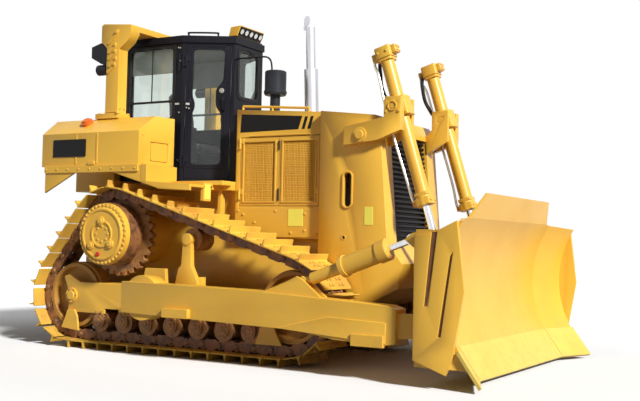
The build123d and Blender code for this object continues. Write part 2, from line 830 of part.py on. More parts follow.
window_top = cab_top - 43
side_window = (cab_rear_x + 110, cab_corner_x - 124, 2645.0, window_top)
rear_window = (430.0, 2690.0, window_top)
windscreen = (205.0, footwell_top + 0.265 * (cab_top - footwell_top), cab_top - 70)
with BuildPart() as cab_shell:
    prism(lower_plan, cab_floor, footwell_top)
    prism(upper_plan, footwell_top, cab_top)
    plan_offset(lower_plan, -cab_wall, cab_floor + cab_wall, footwell_top - cab_wall, Mode.SUBTRACT)
    plan_offset(upper_plan, -cab_wall, footwell_top - cab_wall, cab_top, Mode.SUBTRACT)
    block(*side_window[:2], -cab_half_width, cab_half_width, *side_window[2:], Mode.SUBTRACT)
    block(cab_rear_x, cab_rear_x + cab_wall, -rear_window[0], rear_window[0], *rear_window[1:], Mode.SUBTRACT)
    block(cab_front_x - cab_wall, cab_front_x, -windscreen[0], windscreen[0], *windscreen[1:], Mode.SUBTRACT)
    with BuildSketch(door_face) as door_hole:
        with Locations((door_length / 2, (door_low + door_high) / 2)):
            Rectangle(door_length - 2 * door_margin, door_high - door_low)
    door_cut = extrude(door_hole.sketch, amount=-cab_wall * 1.6, mode=Mode.SUBTRACT)
    mirror(door_cut, about=Plane.XZ, mode=Mode.SUBTRACT)
    for hinge_z in cab_hinges:
        knuckle(door_face, cab_hinge_u, knuckle_radius, hinge_z - knuckle_half, hinge_z, -1)
    mirror(about=Plane.XZ)
cab_shell.part.label = "cab_shell"
export_step(cab_shell.part, "parts/cab_shell.step")

# Cab roof, overhanging the walls a little
with BuildPart() as cab_roof:
    plan_offset(upper_plan, roof_overhang, cab_top, cab_top + roof_thickness, Mode.ADD)
cab_roof.part.label = "cab_roof"
export_step(cab_roof.part, "parts/cab_roof.step")

# Fixed panes, each set in the middle of its wall
pane_inset = (cab_wall - pane) / 2
with BuildPart() as cab_glass:
    pane_outside = cab_half_width - pane_inset
    block(*side_window[:2], -pane_outside, -pane_outside + pane, *side_window[2:])
    mirror(about=Plane.XZ)
    rear_pane = cab_rear_x + pane_inset
    block(rear_pane, rear_pane + pane, -rear_window[0], rear_window[0], *rear_window[1:])
    front_pane = cab_front_x - pane_inset
    block(front_pane - pane, front_pane, -windscreen[0], windscreen[0], *windscreen[1:])
cab_glass.part.label = "cab_glass"
export_step(cab_glass.part, "parts/cab_glass.step")

# Cab doors: each pane steps in round the middle hinge at the rear and the handle at the front
door_u = (door_margin + door_gap, door_length - door_margin - door_gap)
door_v = (door_low + door_gap, door_high - door_gap)
glass_rear = door_u[0] + 68
glass_front = door_u[1] - 62
glass_low = door_low + 162
glass_high = cab_top - 67
handle_z = door_low + 0.633 * (door_high - door_low)
middle_hinge_z = door_low + 0.553 * (door_high - door_low)
glass_outline = (
    (glass_rear, glass_low),
    (glass_front - 28, glass_low),
    (glass_front - 28, handle_z - 230),
    (glass_front - 96, handle_z - 140),
    (glass_front - 96, handle_z + 60),
    (glass_front - 14, handle_z + 140),
    (glass_front, glass_high),
    (glass_rear + 6, glass_high),
    (glass_rear, middle_hinge_z + 90),
    (glass_rear + 28, middle_hinge_z + 30),
    (glass_rear + 28, middle_hinge_z - 40),
    (glass_rear, middle_hinge_z - 100),
)
with BuildPart() as cab_door_right:
    panel_on(door_face, *door_u, *door_v, 0, -cab_wall)
    outline_on(door_face, glass_outline, 0, -cab_wall, Mode.SUBTRACT)
    for hinge_z in cab_hinges:
        knuckle(door_face, cab_hinge_u, knuckle_radius, hinge_z + running_gap, hinge_z + knuckle_half, 1)
with BuildPart() as door_glass_right:
    outline_on(door_face, glass_outline, -pane_inset, -pane_inset - pane)
for name, right in (("cab_door", cab_door_right), ("door_glass", door_glass_right)):
    right.part.label = f"{name}_right"
    export_step(right.part, f"parts/{name}_right.step")
    with BuildPart() as left:
        mirror(right.part, about=Plane.XZ)
    left.part.label = f"{name}_left"
    export_step(left.part, f"parts/{name}_left.step")

# Seat and console on the cab floor
floor_z = cab_floor + cab_wall
seat_x = -1450.0
seat_z = floor_z + 330
cushion_half = 250.0
back_top = seat_z + 0.61 * (cab_top - seat_z)
with BuildPart() as seat:
    block(seat_x - 210, seat_x + 210, -200, 200, floor_z, seat_z)
    block(seat_x - cushion_half, seat_x + cushion_half, -cushion_half, cushion_half, seat_z, seat_z + 120)
    back_shape = (
        (seat_x - cushion_half, seat_z + 70),
        (seat_x - cushion_half + 120, seat_z + 70),
        (seat_x - cushion_half + 30, back_top),
        (seat_x - cushion_half - 70, back_top),
    )
    slab(back_shape, -cushion_half + 15, cushion_half - 15)
seat.part.label = "seat"
export_step(seat.part, "parts/seat.step")

dash_front_x = cab_front_x - cab_wall - 2
column_front_x = hood_rear_x - 2 - cab_wall - 2
dash_half_width = 200.0
armrest_in = cushion_half + 30
armrest_out = armrest_in + 130
with BuildPart() as console:
    dash = (
        (column_front_x - 110, floor_z),
        (column_front_x, floor_z),
        (column_front_x, footwell_top - cab_wall - 10),
        (dash_front_x, footwell_top - cab_wall - 10),
        (dash_front_x, footwell_top + 150),
        (dash_front_x - 120, footwell_top + 170),
        (dash_front_x - 210, footwell_top - 40),
        (column_front_x - 140, footwell_top - 230),
    )
    slab(dash, -dash_half_width, dash_half_width)
    for y_low, y_high in ((-armrest_out, -armrest_in), (armrest_in, armrest_out)):
        block(seat_x - 150, seat_x + 210, y_low, y_high, floor_z, seat_z + 290)
console.part.label = "console"
export_step(console.part, "parts/console.step")

# Side tanks beside the cab and the rear tank between them
tank_nose_x = tank_front_x + tank_face_slant
tank_profile = (
    (tank_inner, tank_bottom),
    (tank_outer, tank_bottom),
    (tank_outer, tank_shoulder),
    (tank_outer - 230, tank_top),
    (tank_inner, tank_top),
)
tank_axis = Plane(origin=(tank_rear_x, 0, 0), x_dir=(0, 1, 0), z_dir=(1, 0, 0))
with BuildPart() as side_tanks:
    with BuildSketch(tank_axis) as tank_section:
        with BuildLine():
            Polyline(*tank_profile, close=True)
        make_face()
    extrude(tank_section.sketch, amount=tank_nose_x - tank_rear_x)
    face_cut = (
        (tank_front_x, tank_outer + 1),
        (tank_nose_x + 1, tank_outer + 1),
        (tank_nose_x + 1, tank_inner),
        (tank_nose_x, tank_inner),
    )
    prism(face_cut, tank_bottom - 1, tank_top + 1, Mode.SUBTRACT)
    block(tank_front_x - 15, tank_nose_x + 1, tank_inner + 90, tank_outer - 175,
          tank_bottom + 50, tank_bottom + 265, Mode.SUBTRACT)
    mirror(about=Plane.XZ)
side_tanks.part.label = "side_tanks"
export_step(side_tanks.part, "parts/side_tanks.step")

with BuildPart() as fuel_tank:
    plate_low = tank_bottom - fender_plate
    block(tank_rear_x, cab_rear_x - 10, -tank_inner, tank_inner, plate_low, tank_top - 20)
    block(tank_rear_x, cab_rear_x - 10, -case_half_width, case_half_width, case_top, plate_low)
fuel_tank.part.label = "fuel_tank"
export_step(fuel_tank.part, "parts/fuel_tank.step")

# Fenders: a side lip arched over the track, a plate under the tank and a shelf before the door
shelf_top = 1880.0
shelf_drop = 40.0
fender_line = (
    (fender_rear_x, tank_bottom),
    (fender_rear_x, 1755),
    (-2225, 1985),
    (-1670, 1985),
    (-990, 1790),
    (fender_front_x, 1770),
    (fender_front_x, shelf_top - shelf_drop),
    (fender_lip_x, shelf_top),
    (fender_lip_x, tank_bottom),
)
shelf_line = (
    (fender_lip_x, shelf_top - fender_plate),
    (fender_front_x, shelf_top - shelf_drop - fender_plate),
    (fender_front_x, shelf_top - shelf_drop),
    (fender_lip_x, shelf_top),
)
with BuildPart() as fenders:
    slab(fender_line, -tank_outer, -tank_outer + fender_plate)
    block(fender_rear_x, fender_lip_x, -tank_outer, -tank_inner, tank_bottom - fender_plate, tank_bottom)
    slab(shelf_line, -tank_outer, -platform_half_width)
    mirror(about=Plane.XZ)
fenders.part.label = "fenders"
export_step(fenders.part, "parts/fenders.step")

# Platform that carries the cab on the rear case
platform_front_x = hood_rear_x - 2
with BuildPart() as platform:
    block(cab_rear_x, platform_front_x, -case_half_width, case_half_width, case_top, cab_floor)
    block(fender_lip_x, platform_front_x, -platform_half_width, platform_half_width,
          platform_bottom, cab_floor)
    block(case_front_x, platform_front_x, -hull_half_width, hull_half_width, deck_z, case_top)
platform.part.label = "platform"
export_step(platform.part, "parts/platform.step")

# Roll bar: posts on the tanks beside the cab, a cap on each and a beam over the roof
cap_rear_x = rops_rear_x - 86
cap_front_x = rops_front_x + 170
post_height = rops_top - tank_top
post_knee = rops_top - 0.26 * post_height
post_shape = (
    (rops_rear_x, tank_top + 60),
    (rops_rear_x, post_knee),
    (cap_rear_x, post_knee + 0.07 * post_height),
    (cap_rear_x, rops_top - 25),
    (cap_rear_x + 30, rops_top),
    (cap_front_x, rops_top - 40),
    (cap_front_x, post_knee + 0.13 * post_height),
    (cap_front_x - 60, post_knee + 0.05 * post_height),
    (rops_front_x, post_knee - 0.02 * post_height),
    (rops_front_x, tank_top + 60),
)
beam_bottom = cab_top + roof_thickness + 10
beam_shape = (
    (cap_rear_x + 30, beam_bottom),
    (cap_front_x, beam_bottom),
    (cap_front_x, rops_top - 40),
    (cap_rear_x + 30, rops_top),
)
with BuildPart() as rops:
    slab(post_shape, -rops_outer, -rops_inner)
    block(rops_rear_x - 128, rops_front_x + 24, -rops_outer - 20, -rops_inner + 40, tank_top, tank_top + 60)
    mirror(about=Plane.XZ)
    slab(beam_shape, -rops_outer, rops_outer)
rops.part.label = "rops"
export_step(rops.part, "parts/rops.step")

# Lamps: one box over the windscreen, and a housing with a round lamp behind each post
roof_z = cab_top + roof_thickness
with BuildPart() as roof_lamps:
    lamp_box = (
        (cab_front_x - 133, roof_z),
        (cab_front_x - 13, roof_z),
        (cab_front_x + 41, roof_z + 140),
        (cab_front_x - 103, roof_z + 130),
    )
    slab(lamp_box, -250, 250)
roof_lamps.part.label = "roof_lamps"
export_step(roof_lamps.part, "parts/roof_lamps.step")

lamp_top = rops_top - 0.196 * post_height
lamp_low = lamp_top - 0.25 * post_height
with BuildPart() as rear_lamps:
    housing = (
        (rops_rear_x, lamp_low),
        (rops_rear_x - 90, lamp_low + 0.03 * post_height),
        (rops_rear_x - 240, lamp_low + 0.1 * post_height),
        (rops_rear_x - 240, lamp_top - 40),
        (cap_rear_x - 8, lamp_top),
        (rops_rear_x, post_knee - 4),
    )
    slab(housing, -rops_outer + 10, -rops_inner - 10)
    with BuildSketch(Plane.YZ.offset(rops_rear_x - 175)) as lamp_face:
        with Locations((-(rops_outer + rops_inner) / 2, lamp_low - 30)):
            Circle(62)
    extrude(lamp_face.sketch, amount=150)
    mirror(about=Plane.XZ)
rear_lamps.part.label = "rear_lamps"
export_step(rear_lamps.part, "parts/rear_lamps.step")

# Low handrails along the hood's top edges
rail_radius = 14.0
rail_y = -hood_half_width + 40
rail_rise = 42.0
rail_places = (hood_rear_x + 52, 0.0, hood_front_x - 214)
with BuildPart() as handrails:
    rail_tops = [(x, rail_y, hood_top(x) + rail_rise) for x in rail_places]
    bar_between(rail_tops[0], rail_tops[-1], rail_radius)
    for x, y, z in rail_tops:
        bar_between((x, y, z - rail_rise - 20), (x, y, z), rail_radius)
    clear_of_hood()
    mirror(about=Plane.XZ)
handrails.part.label = "handrails"
export_step(handrails.part, "parts/handrails.step")

# Yokes: box beams out of the guard under square bearing blocks that carry the lift cylinders
yoke_in = lift_y - trunnion_block - trunnion_play - yoke_plate
yoke_out = lift_y + trunnion_block + trunnion_play + yoke_beam
bearing_half = 95.0
yoke_rear_x = 1000.0
yoke_low = 2250.0
yoke_high = 2440.0
bearing_line = (
    (lift_pin_x + bearing_half, lift_pin_z - 245),
    (lift_pin_x + bearing_half, lift_pin_z + bearing_half),
    (lift_pin_x - bearing_half, lift_pin_z + bearing_half),
    (lift_pin_x - bearing_half, lift_pin_z - 110),
)
outer_foot = ((yoke_rear_x, yoke_high), (yoke_rear_x, yoke_low), (front_top_x, yoke_low + 40))
inner_foot = ((front_face_x(yoke_high), yoke_high), (front_face_x(yoke_low), yoke_low))
with BuildPart() as lift_yokes:
    slab((*outer_foot, *bearing_line), -yoke_out, -yoke_out + yoke_beam)
    slab((*inner_foot, *bearing_line), -yoke_in - yoke_plate, -yoke_in)
    cross_pin(lift_pin_x, lift_pin_z, lift_pin_radius + running_gap, -yoke_out, -yoke_in, Mode.SUBTRACT)
    mirror(about=Plane.XZ)
lift_yokes.part.label = "lift_yokes"
export_step(lift_yokes.part, "parts/lift_yokes.step")

# Lift cylinders: trunnion barrels with rods down to the blade
reach = Vector(eye_x - lift_pin_x, 0, eye_z - lift_pin_z)
axis_down = reach.normalized()
pin_point = Vector(lift_pin_x, -lift_y, lift_pin_z)
eye_point = Vector(eye_x, -lift_y, eye_z)
rod_length = 1600.0
head_length = 100.0
eye_radius = 62.0
eye_half_width = 55.0
with BuildPart() as lift_barrel_right:
    barrel_top = pin_point - axis_down * barrel_above
    barrel_end = pin_point + axis_down * barrel_below
    bar_between(barrel_top, barrel_end, barrel_radius)
    bar_between(barrel_end - axis_down * head_length, barrel_end, barrel_radius + 14)
    bar_between(barrel_top, barrel_top + axis_down * head_length, barrel_radius + 14)
    bar_between(pin_point - axis_down * 85, pin_point + axis_down * 85, trunnion_block)
    cross_pin(lift_pin_x, lift_pin_z, lift_pin_radius, -yoke_out, -yoke_in)
    bar_between(barrel_top + axis_down * 60, barrel_end, lift_rod_radius + running_gap, Mode.SUBTRACT)
with BuildPart() as lift_rod_right:
    bar_between(eye_point - axis_down * rod_length, eye_point - axis_down * 40, lift_rod_radius)
    cross_pin(eye_x, eye_z, eye_radius, -lift_y - eye_half_width, -lift_y + eye_half_width)
for name, right in (("lift_barrel", lift_barrel_right), ("lift_rod", lift_rod_right)):
    right.part.label = f"{name}_right"
    export_step(right.part, f"parts/{name}_right.step")
    with BuildPart() as left:
        mirror(right.part, about=Plane.XZ)
    left.part.label = f"{name}_left"
    export_step(left.part, f"parts/{name}_left.step")

# Push arms along the outside of the tracks
arm_rear_x = trunnion_x - 250.0
wing_back_x = 2260.0
arm_shape = (
    (arm_rear_x, 470),
    (arm_rear_x, 795),
    (400, 768),
    (arm_front_x, 690),
    (arm_front_x + 90, 660),
    (arm_front_x + 90, 350),
    (arm_front_x - 30, 330),
    (1400, 352),
    (1000, 412),
)
brace_x = 960.0
brace_z = 850.0
bracket = (
    (brace_x - 400, 750),
    (brace_x + 290, 715),
    (brace_x + 70, brace_z + 40),
    (brace_x, brace_z + 70),
    (brace_x - 80, brace_z + 30),
)
tongue_low = 400.0
tongue_high = 620.0
doubler_plate = 12.0
doubler = (
    (773, 422),
    (arm_front_x - 7, 345),
    (arm_front_x - 4, 536),
    (1335, 557),
)
with BuildPart() as push_arm_right:
    slab(arm_shape, -arm_outer, -arm_inner)
    cross_pin(trunnion_x, trunnion_z, 235, -arm_outer + 25, -arm_inner)
    cross_pin(trunnion_x, trunnion_z, trunnion_radius + running_gap,
              -arm_outer + 50, -arm_inner, Mode.SUBTRACT)
    block(arm_front_x + 90, wing_back_x, -arm_outer + 60, -arm_inner - 60, tongue_low, tongue_high)
    slab(doubler, -arm_outer - doubler_plate, -arm_outer)
    slab(bracket, -arm_outer + 40, -arm_outer + 70)
    slab(bracket, -arm_inner - 70, -arm_inner - 40)
push_arm_right.part.label = "push_arm_right"
export_step(push_arm_right.part, "parts/push_arm_right.step")
with BuildPart() as push_arm_left:
    mirror(push_arm_right.part, about=Plane.XZ)
push_arm_left.part.label = "push_arm_left"
export_step(push_arm_left.part, "parts/push_arm_left.step")

# Blade: a curved plate, straight over the middle and swept forwards in the wings
wing_run = Vector(blade_tip_x - edge_x, wing_start - blade_half_width, 0)
edge_down = Vector(edge_x - edge_top_x, edge_bottom - edge_top_z).normalized()
edge_back = Vector(edge_down.Y, -edge_down.X)


def blade_section(y, thickness):
    """Draw the curved plate's section at the start of a wing."""
    with BuildSketch(Plane.XZ.offset(-y)) as section:
        with BuildLine():
            front = ThreePointArc((edge_top_x, edge_top_z), mold_back, (mold_top_x, mold_top_z))
            up = Line(front @ 1, (spill_x, spill_z))
            rear_top = Line(up @ 1, (spill_x - thickness, spill_z + 8))
            down = Line(rear_top @ 1, (mold_top_x - thickness, mold_top_z + 8))
            foot = Vector(edge_top_x, edge_top_z) + edge_back * thickness
            back = ThreePointArc(down @ 1, (mold_back[0] - thickness, mold_back[1]), foot)
            Line(back @ 1, front @ 0)
        make_face()
    return section.sketch


crown = (
    (-blade_half_width - 1, 1900),
    (-blade_half_width - 1, 1455),
    (-1150, 1500),
    (-926, spill_z),
    (926, spill_z),
    (1150, 1500),
    (blade_half_width + 1, 1455),
    (blade_half_width + 1, 1900),
)
crown_plane = Plane(origin=(2000, 0, 0), x_dir=(0, 1, 0), z_dir=(1, 0, 0))
side_plate = 32.0
with BuildPart() as moldboard:
    extrude(blade_section(wing_start, mold_thickness), amount=2 * wing_start)
    wing_face = blade_section(-wing_start, mold_thickness)
    wing_length = wing_run.length * (1 - side_plate / wing_width)
    wing = extrude(wing_face, amount=wing_length, dir=wing_run)
    mirror(wing, about=Plane.XZ)
    with BuildSketch(crown_plane) as crown_cut:
        with BuildLine():
            Polyline(*crown, close=True)
        make_face()
    extrude(crown_cut.sketch, amount=1200, mode=Mode.SUBTRACT)
moldboard.part.label = "moldboard"
export_step(moldboard.part, "parts/moldboard.step")

# Cutting edge along the middle, end bits along the wings
edge_profile = [
    Vector(edge_top_x, edge_top_z),
    Vector(edge_x, edge_bottom),
    Vector(edge_x, edge_bottom) + edge_back * edge_thickness,
    Vector(edge_top_x, edge_top_z) + edge_back * edge_thickness,
]
edge_points = [(p.X, p.Y) for p in edge_profile]
with BuildPart() as cutting_edge:
    slab(edge_points, -wing_start, wing_start)
cutting_edge.part.label = "cutting_edge"
export_step(cutting_edge.part, "parts/cutting_edge.step")

with BuildPart() as end_bits:
    with BuildSketch(Plane.XZ.offset(wing_start)) as bit_section:
        with BuildLine():
            Polyline(*edge_points, close=True)
        make_face()
    extrude(bit_section.sketch, amount=wing_run.length, dir=wing_run)
    mirror(about=Plane.XZ)
end_bits.part.label = "end_bits"
export_step(end_bits.part, "parts/end_bits.step")


# Blade frame: beams and ribs behind the plate, side plates, lift ears and brace forks
def front_region(y):
    """Draw all that lies in front of the frame, a hair behind the plate and the edge."""
    shift = mold_thickness + running_gap
    foot = Vector(edge_top_x - running_gap, edge_top_z) + edge_back * edge_thickness
    low = foot + edge_down * 600
    with BuildSketch(Plane.XZ.offset(-y)) as region:
        with BuildLine():
            top = (mold_top_x - shift, mold_top_z + 8)
            arc = ThreePointArc(top, (mold_back[0] - shift, mold_back[1]), foot)
            Polyline(arc @ 1, low, (3300, low.Y), (3300, 1700), (mold_top_x - shift, 1700), arc @ 0)
        make_face()
    return region.sketch


beam_low = (180.0, 480.0)
beam_high = (1130.0, 1380.0)
rib_half = 15.0
ear_gap = 6.0
ear_plate = 30.0
ear_bay = 140.0
outer_rib = (lift_y + ear_bay + wing_start) / 2
rib_places = (0.0, 0.43 * lift_y, lift_y - ear_bay, lift_y + ear_bay, outer_rib, wing_start)
brace_y = (arm_outer + arm_inner) / 2
brace_end = (2140.0, 1290.0)
bracket_half = 37.5
fork_half = 42.0
frame_end = blade_half_width - side_plate
with BuildPart() as blade_frame:
    block(wing_back_x, blade_tip_x, -frame_end, frame_end, beam_low[0], beam_high[1])
    extrude(front_region(wing_start), amount=2 * wing_start, mode=Mode.SUBTRACT)
    wing_front = extrude(front_region(-wing_start), amount=wing_run.length, dir=wing_run, mode=Mode.SUBTRACT)
    mirror(wing_front, about=Plane.XZ, mode=Mode.SUBTRACT)
    for y_low, y_high in zip(rib_places, rib_places[1:]):
        for a, b in ((y_low, y_high), (-y_high, -y_low)):
            block(wing_back_x, 2700, a + rib_half, b - rib_half, beam_low[1], beam_high[0], Mode.SUBTRACT)
    side_outline = (
        (wing_back_x, 240),
        (2570, 130),
        (2636, 300),
        (2642, 352),
        (2730, 850),
        (2655, 1460),
        (2455, 1362),
        (wing_back_x, 1320),
    )
    ear = (
        (wing_back_x + 40, 470),
        (2130, 540),
        (2095, eye_z),
        (2130, 700),
        (wing_back_x + 40, 840),
    )
    fork = (
        (wing_back_x, 1160),
        (brace_end[0] + 20, brace_end[1] - 60),
        (brace_end[0] - 55, brace_end[1]),
        (brace_end[0] + 20, brace_end[1] + 60),
        (wing_back_x, 1370),
    )
    # Grooves down the side plates, beside their doublers
    groove_depth = 12.0
    grooves = (
        ((2358, 712), (2400, 712), (2476, 1370), (2421, 1370)),
        ((2491, 455), (2521, 455), (2623, 1192), (2593, 1152)),
    )
    for sign in (-1, 1):
        slab(side_outline, *sorted((sign * frame_end, sign * blade_half_width)))
        for groove in grooves:
            groove_span = sorted((sign * (blade_half_width - groove_depth), sign * (blade_half_width + 1)))
            slab(groove, *groove_span, Mode.SUBTRACT)
        for ear_side in (-1, 1):
            inner = sign * lift_y + ear_side * (eye_half_width + ear_gap)
            slab(ear, *sorted((inner, inner + ear_side * ear_plate)))
            inner = sign * brace_y + ear_side * fork_half
            slab(fork, *sorted((inner, inner + ear_side * 26)))
blade_frame.part.label = "blade_frame"
export_step(blade_frame.part, "parts/blade_frame.step")

# Tilt cylinder on the right arm, screw brace on the left
brace_run = Vector(brace_end[0] - brace_x, 0, brace_end[1] - brace_z)
brace_length = brace_run.length
brace_along = brace_run.normalized()
rear_eye = bracket_half - running_gap
front_eye = fork_half - running_gap


def brace_point(distance, y):
    """Give a point on the brace line at a distance from its rear pin."""
    return Vector(brace_x, y, brace_z) + brace_along * distance


# Columns: start and end along the brace line, radius
cylinder_steps = (
    (30, 160, 34),
    (150, 500, 57),
    (490, 535, 104),
    (530, 910, 92),
    (900, 1000, 104),
)
with BuildPart() as tilt_cylinder:
    cross_pin(brace_x, brace_z, 52, -brace_y - rear_eye, -brace_y + rear_eye)
    for start, end, radius in cylinder_steps:
        bar_between(brace_point(start, -brace_y), brace_point(end, -brace_y), radius)
tilt_cylinder.part.label = "tilt_cylinder"
export_step(tilt_cylinder.part, "parts/tilt_cylinder.step")

with BuildPart() as tilt_rod:
    bar_between(brace_point(1000, -brace_y), brace_point(brace_length - 30, -brace_y), 30)
    cross_pin(*brace_end, 50, -brace_y - front_eye, -brace_y + front_eye)
tilt_rod.part.label = "tilt_rod"
export_step(tilt_rod.part, "parts/tilt_rod.step")

with BuildPart() as screw_brace:
    cross_pin(brace_x, brace_z, 52, brace_y - rear_eye, brace_y + rear_eye)
    bar_between(brace_point(30, brace_y), brace_point(brace_length - 30, brace_y), 34)
    bar_between(brace_point(150, brace_y), brace_point(brace_length - 200, brace_y), 50)
    cross_pin(*brace_end, 50, brace_y - front_eye, brace_y + front_eye)
screw_brace.part.label = "screw_brace"
export_step(screw_brace.part, "parts/screw_brace.step")
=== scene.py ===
"""Looks of a crawler dozer with raised drive sprockets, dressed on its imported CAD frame.

Everything is in metres in the frame's own axes: +X to the blade, +Y to the machine's left, +Z up.
"""

import json
import logging
import math
from dataclasses import dataclass
from enum import Enum

import bmesh
import bpy
from mathutils import Matrix, Vector

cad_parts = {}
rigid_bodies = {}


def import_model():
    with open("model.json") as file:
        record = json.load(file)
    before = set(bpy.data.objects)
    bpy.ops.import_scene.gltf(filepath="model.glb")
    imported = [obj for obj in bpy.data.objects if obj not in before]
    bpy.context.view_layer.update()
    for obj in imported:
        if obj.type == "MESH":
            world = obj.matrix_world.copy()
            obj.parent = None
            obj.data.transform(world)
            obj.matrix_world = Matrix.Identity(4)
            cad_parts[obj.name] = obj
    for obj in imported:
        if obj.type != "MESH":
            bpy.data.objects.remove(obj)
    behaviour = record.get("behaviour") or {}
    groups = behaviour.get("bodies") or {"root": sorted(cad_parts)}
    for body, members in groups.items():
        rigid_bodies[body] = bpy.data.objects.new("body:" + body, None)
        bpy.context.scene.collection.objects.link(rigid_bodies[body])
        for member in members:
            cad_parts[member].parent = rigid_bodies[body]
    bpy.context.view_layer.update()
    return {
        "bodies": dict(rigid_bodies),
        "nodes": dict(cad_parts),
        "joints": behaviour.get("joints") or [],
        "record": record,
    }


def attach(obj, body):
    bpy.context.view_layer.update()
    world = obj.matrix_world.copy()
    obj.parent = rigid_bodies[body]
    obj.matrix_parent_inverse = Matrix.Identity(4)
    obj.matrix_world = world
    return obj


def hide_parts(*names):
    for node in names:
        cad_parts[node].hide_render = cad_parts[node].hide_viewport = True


log = logging.getLogger("dozer")

Point = tuple[float, float, float]
Flat = tuple[float, float]
Colour = tuple[float, float, float]

HEAD_HEIGHT = 1.3
WASHER_RADIUS = 1.35
MERGE_DISTANCE = 0.0001
FORWARDS: Point = (1.0, 0.0, 0.0)
LEFTWARDS: Point = (0.0, 1.0, 0.0)
RIGHTWARDS: Point = (0.0, -1.0, 0.0)
UPWARDS: Point = (0.0, 0.0, 1.0)
WHITE = (1.0, 1.0, 1.0, 1.0)


class Side(Enum):
    """The machine's two sides, by the sign of Y."""

    RIGHT = -1
    LEFT = 1

    @property
    def word(self) -> str:
        """Give the side's name as it stands in node names."""
        return self.name.lower()


class Slot(Enum):
    """Material slots of the record that the finishes stand for."""

    YELLOW = "yellow_paint"
    BLACK = "black_paint"
    TRACK = "track_steel"
    SHOE = "shoe_paint"
    EDGE = "worn_steel"
    CHROME = "chrome"
    STACK = "stack_metal"
    ENGINE = "engine_grey"
    GLASS = "cab_glass"
    SEAT = "seat_cloth"
    PLASTIC = "dark_plastic"


class NodeTree:
    """A node tree, built up from small calls."""

    def __init__(self, tree: bpy.types.NodeTree) -> None:
        """Take up a tree."""
        self.nodes, self.links = tree.nodes, tree.links

    def feed(self, socket: bpy.types.NodeSocket, value: object) -> None:
        """Link a socket to an input, or set its value."""
        if isinstance(value, bpy.types.NodeSocket):
            self.links.new(value, socket)
        else:
            socket.default_value = value

    def plug(self, node: bpy.types.Node, **inputs: object) -> None:
        """Set or link a node's inputs, named with underscores for spaces."""
        for key, value in inputs.items():
            self.feed(node.inputs[key.replace("_", " ")], value)

    def add(self, kind: str, settings: dict[str, object] | None = None, **inputs: object) -> bpy.types.Node:
        """Add a node, set its options, and set or link its inputs.

        Args:
            kind: Node type, without its prefix if that is ShaderNode.
            settings: Options of the node by attribute name.
            inputs: Values or sockets by input name, with underscores for spaces.

        Returns:
            The new node.
        """
        node = self.nodes.new(kind if "Node" in kind else "ShaderNode" + kind)
        for key, value in (settings or {}).items():
            setattr(node, key, value)
        self.plug(node, **inputs)
        return node

    def math(self, operation: str, result: object, *others: object) -> bpy.types.NodeSocket:
        """Combine values one after another.

        Args:
            operation: What each value does to the result so far.
            result: Value that it starts from.
            others: Values that follow.

        Returns:
            Socket of the last result.
        """
        for other in others:
            node = self.add("Math", {"operation": operation})
            self.feed(node.inputs[0], result)
            self.feed(node.inputs[1], other)
            result = node.outputs[0]
        return result

    def span(self, value: bpy.types.NodeSocket, low: float, high: float) -> bpy.types.NodeSocket:
        """Map a value's range from low to high onto 0 to 1, smoothly."""
        node = self.add("MapRange", {"interpolation_type": "SMOOTHSTEP"}, Value=value, From_Min=low, From_Max=high)
        return node.outputs["Result"]

    def blend(self, share: object, first: object, second: object) -> bpy.types.NodeSocket:
        """Mix two colours by a share from 0 to 1."""
        node = self.add("Mix", {"data_type": "RGBA"}, Factor=share)
        for socket, colour in ((node.inputs[6], first), (node.inputs[7], second)):
            self.feed(socket, colour if isinstance(colour, bpy.types.NodeSocket) else (*colour, 1.0))
        return node.outputs[2]

    def seen(self) -> bpy.types.NodeSocket:
        """Give 1 to the rays of the camera, of metal and of glass, and 0 to those that light."""
        path = self.add("LightPath")
        return self.math("MAXIMUM", *(path.outputs[f"Is {kind} Ray"] for kind in ("Camera", "Glossy", "Transmission")))


class ShaderTree(NodeTree):
    """A material's tree round its Principled shader."""

    def __init__(self, name: str) -> None:
        """Start a material."""
        self.material = bpy.data.materials.new(name)
        self.material.use_nodes = True
        super().__init__(self.material.node_tree)
        self.shader = self.nodes["Principled BSDF"]
        self.coords = self.add("TexCoord").outputs["Object"]

    def shade(self, **inputs: object) -> None:
        """Set or link the shader's inputs."""
        self.plug(self.shader, **inputs)

    def noise(self, scale: float, detail: float = 3.0, stretch: Point = (1.0, 1.0, 1.0)) -> bpy.types.NodeSocket:
        """Give a noise pattern on object coordinates.

        Args:
            scale: Features per metre.
            detail: Octaves of finer noise.
            stretch: Scale along each axis.

        Returns:
            The pattern's value socket.
        """
        place = self.add("Mapping", Vector=self.coords, Scale=stretch).outputs["Vector"]
        return self.add("TexNoise", Vector=place, Scale=scale, Detail=detail).outputs["Fac"]

    def edges(self, radius: float) -> tuple[bpy.types.NodeSocket, bpy.types.NodeSocket]:
        """Round the shading of hard edges.

        Args:
            radius: How far from an edge the rounding reaches.

        Returns:
            The rounded normal, and a mask that is 1 on edges.
        """
        soft = self.add("Bevel", {"samples": 4}, Radius=radius).outputs["Normal"]
        dot = self.add("VectorMath", {"operation": "DOT_PRODUCT"})
        self.feed(dot.inputs[0], soft)
        self.feed(dot.inputs[1], self.add("NewGeometry").outputs["Normal"])
        return soft, self.span(dot.outputs["Value"], 0.995, 0.86)

    def bump(self, value: bpy.types.NodeSocket, strength: float, distance: float,
             normal: bpy.types.NodeSocket | None = None) -> None:
        """Raise the surface's shading by a pattern.

        Args:
            value: Pattern to raise by.
            strength: Share of the full effect.
            distance: Height of the pattern.
            normal: Normal that the bump starts from.
        """
        node = self.add("Bump", Height=value, Strength=strength, Distance=distance)
        if normal is not None:
            self.plug(node, Normal=normal)
        self.shade(Normal=node.outputs["Normal"])


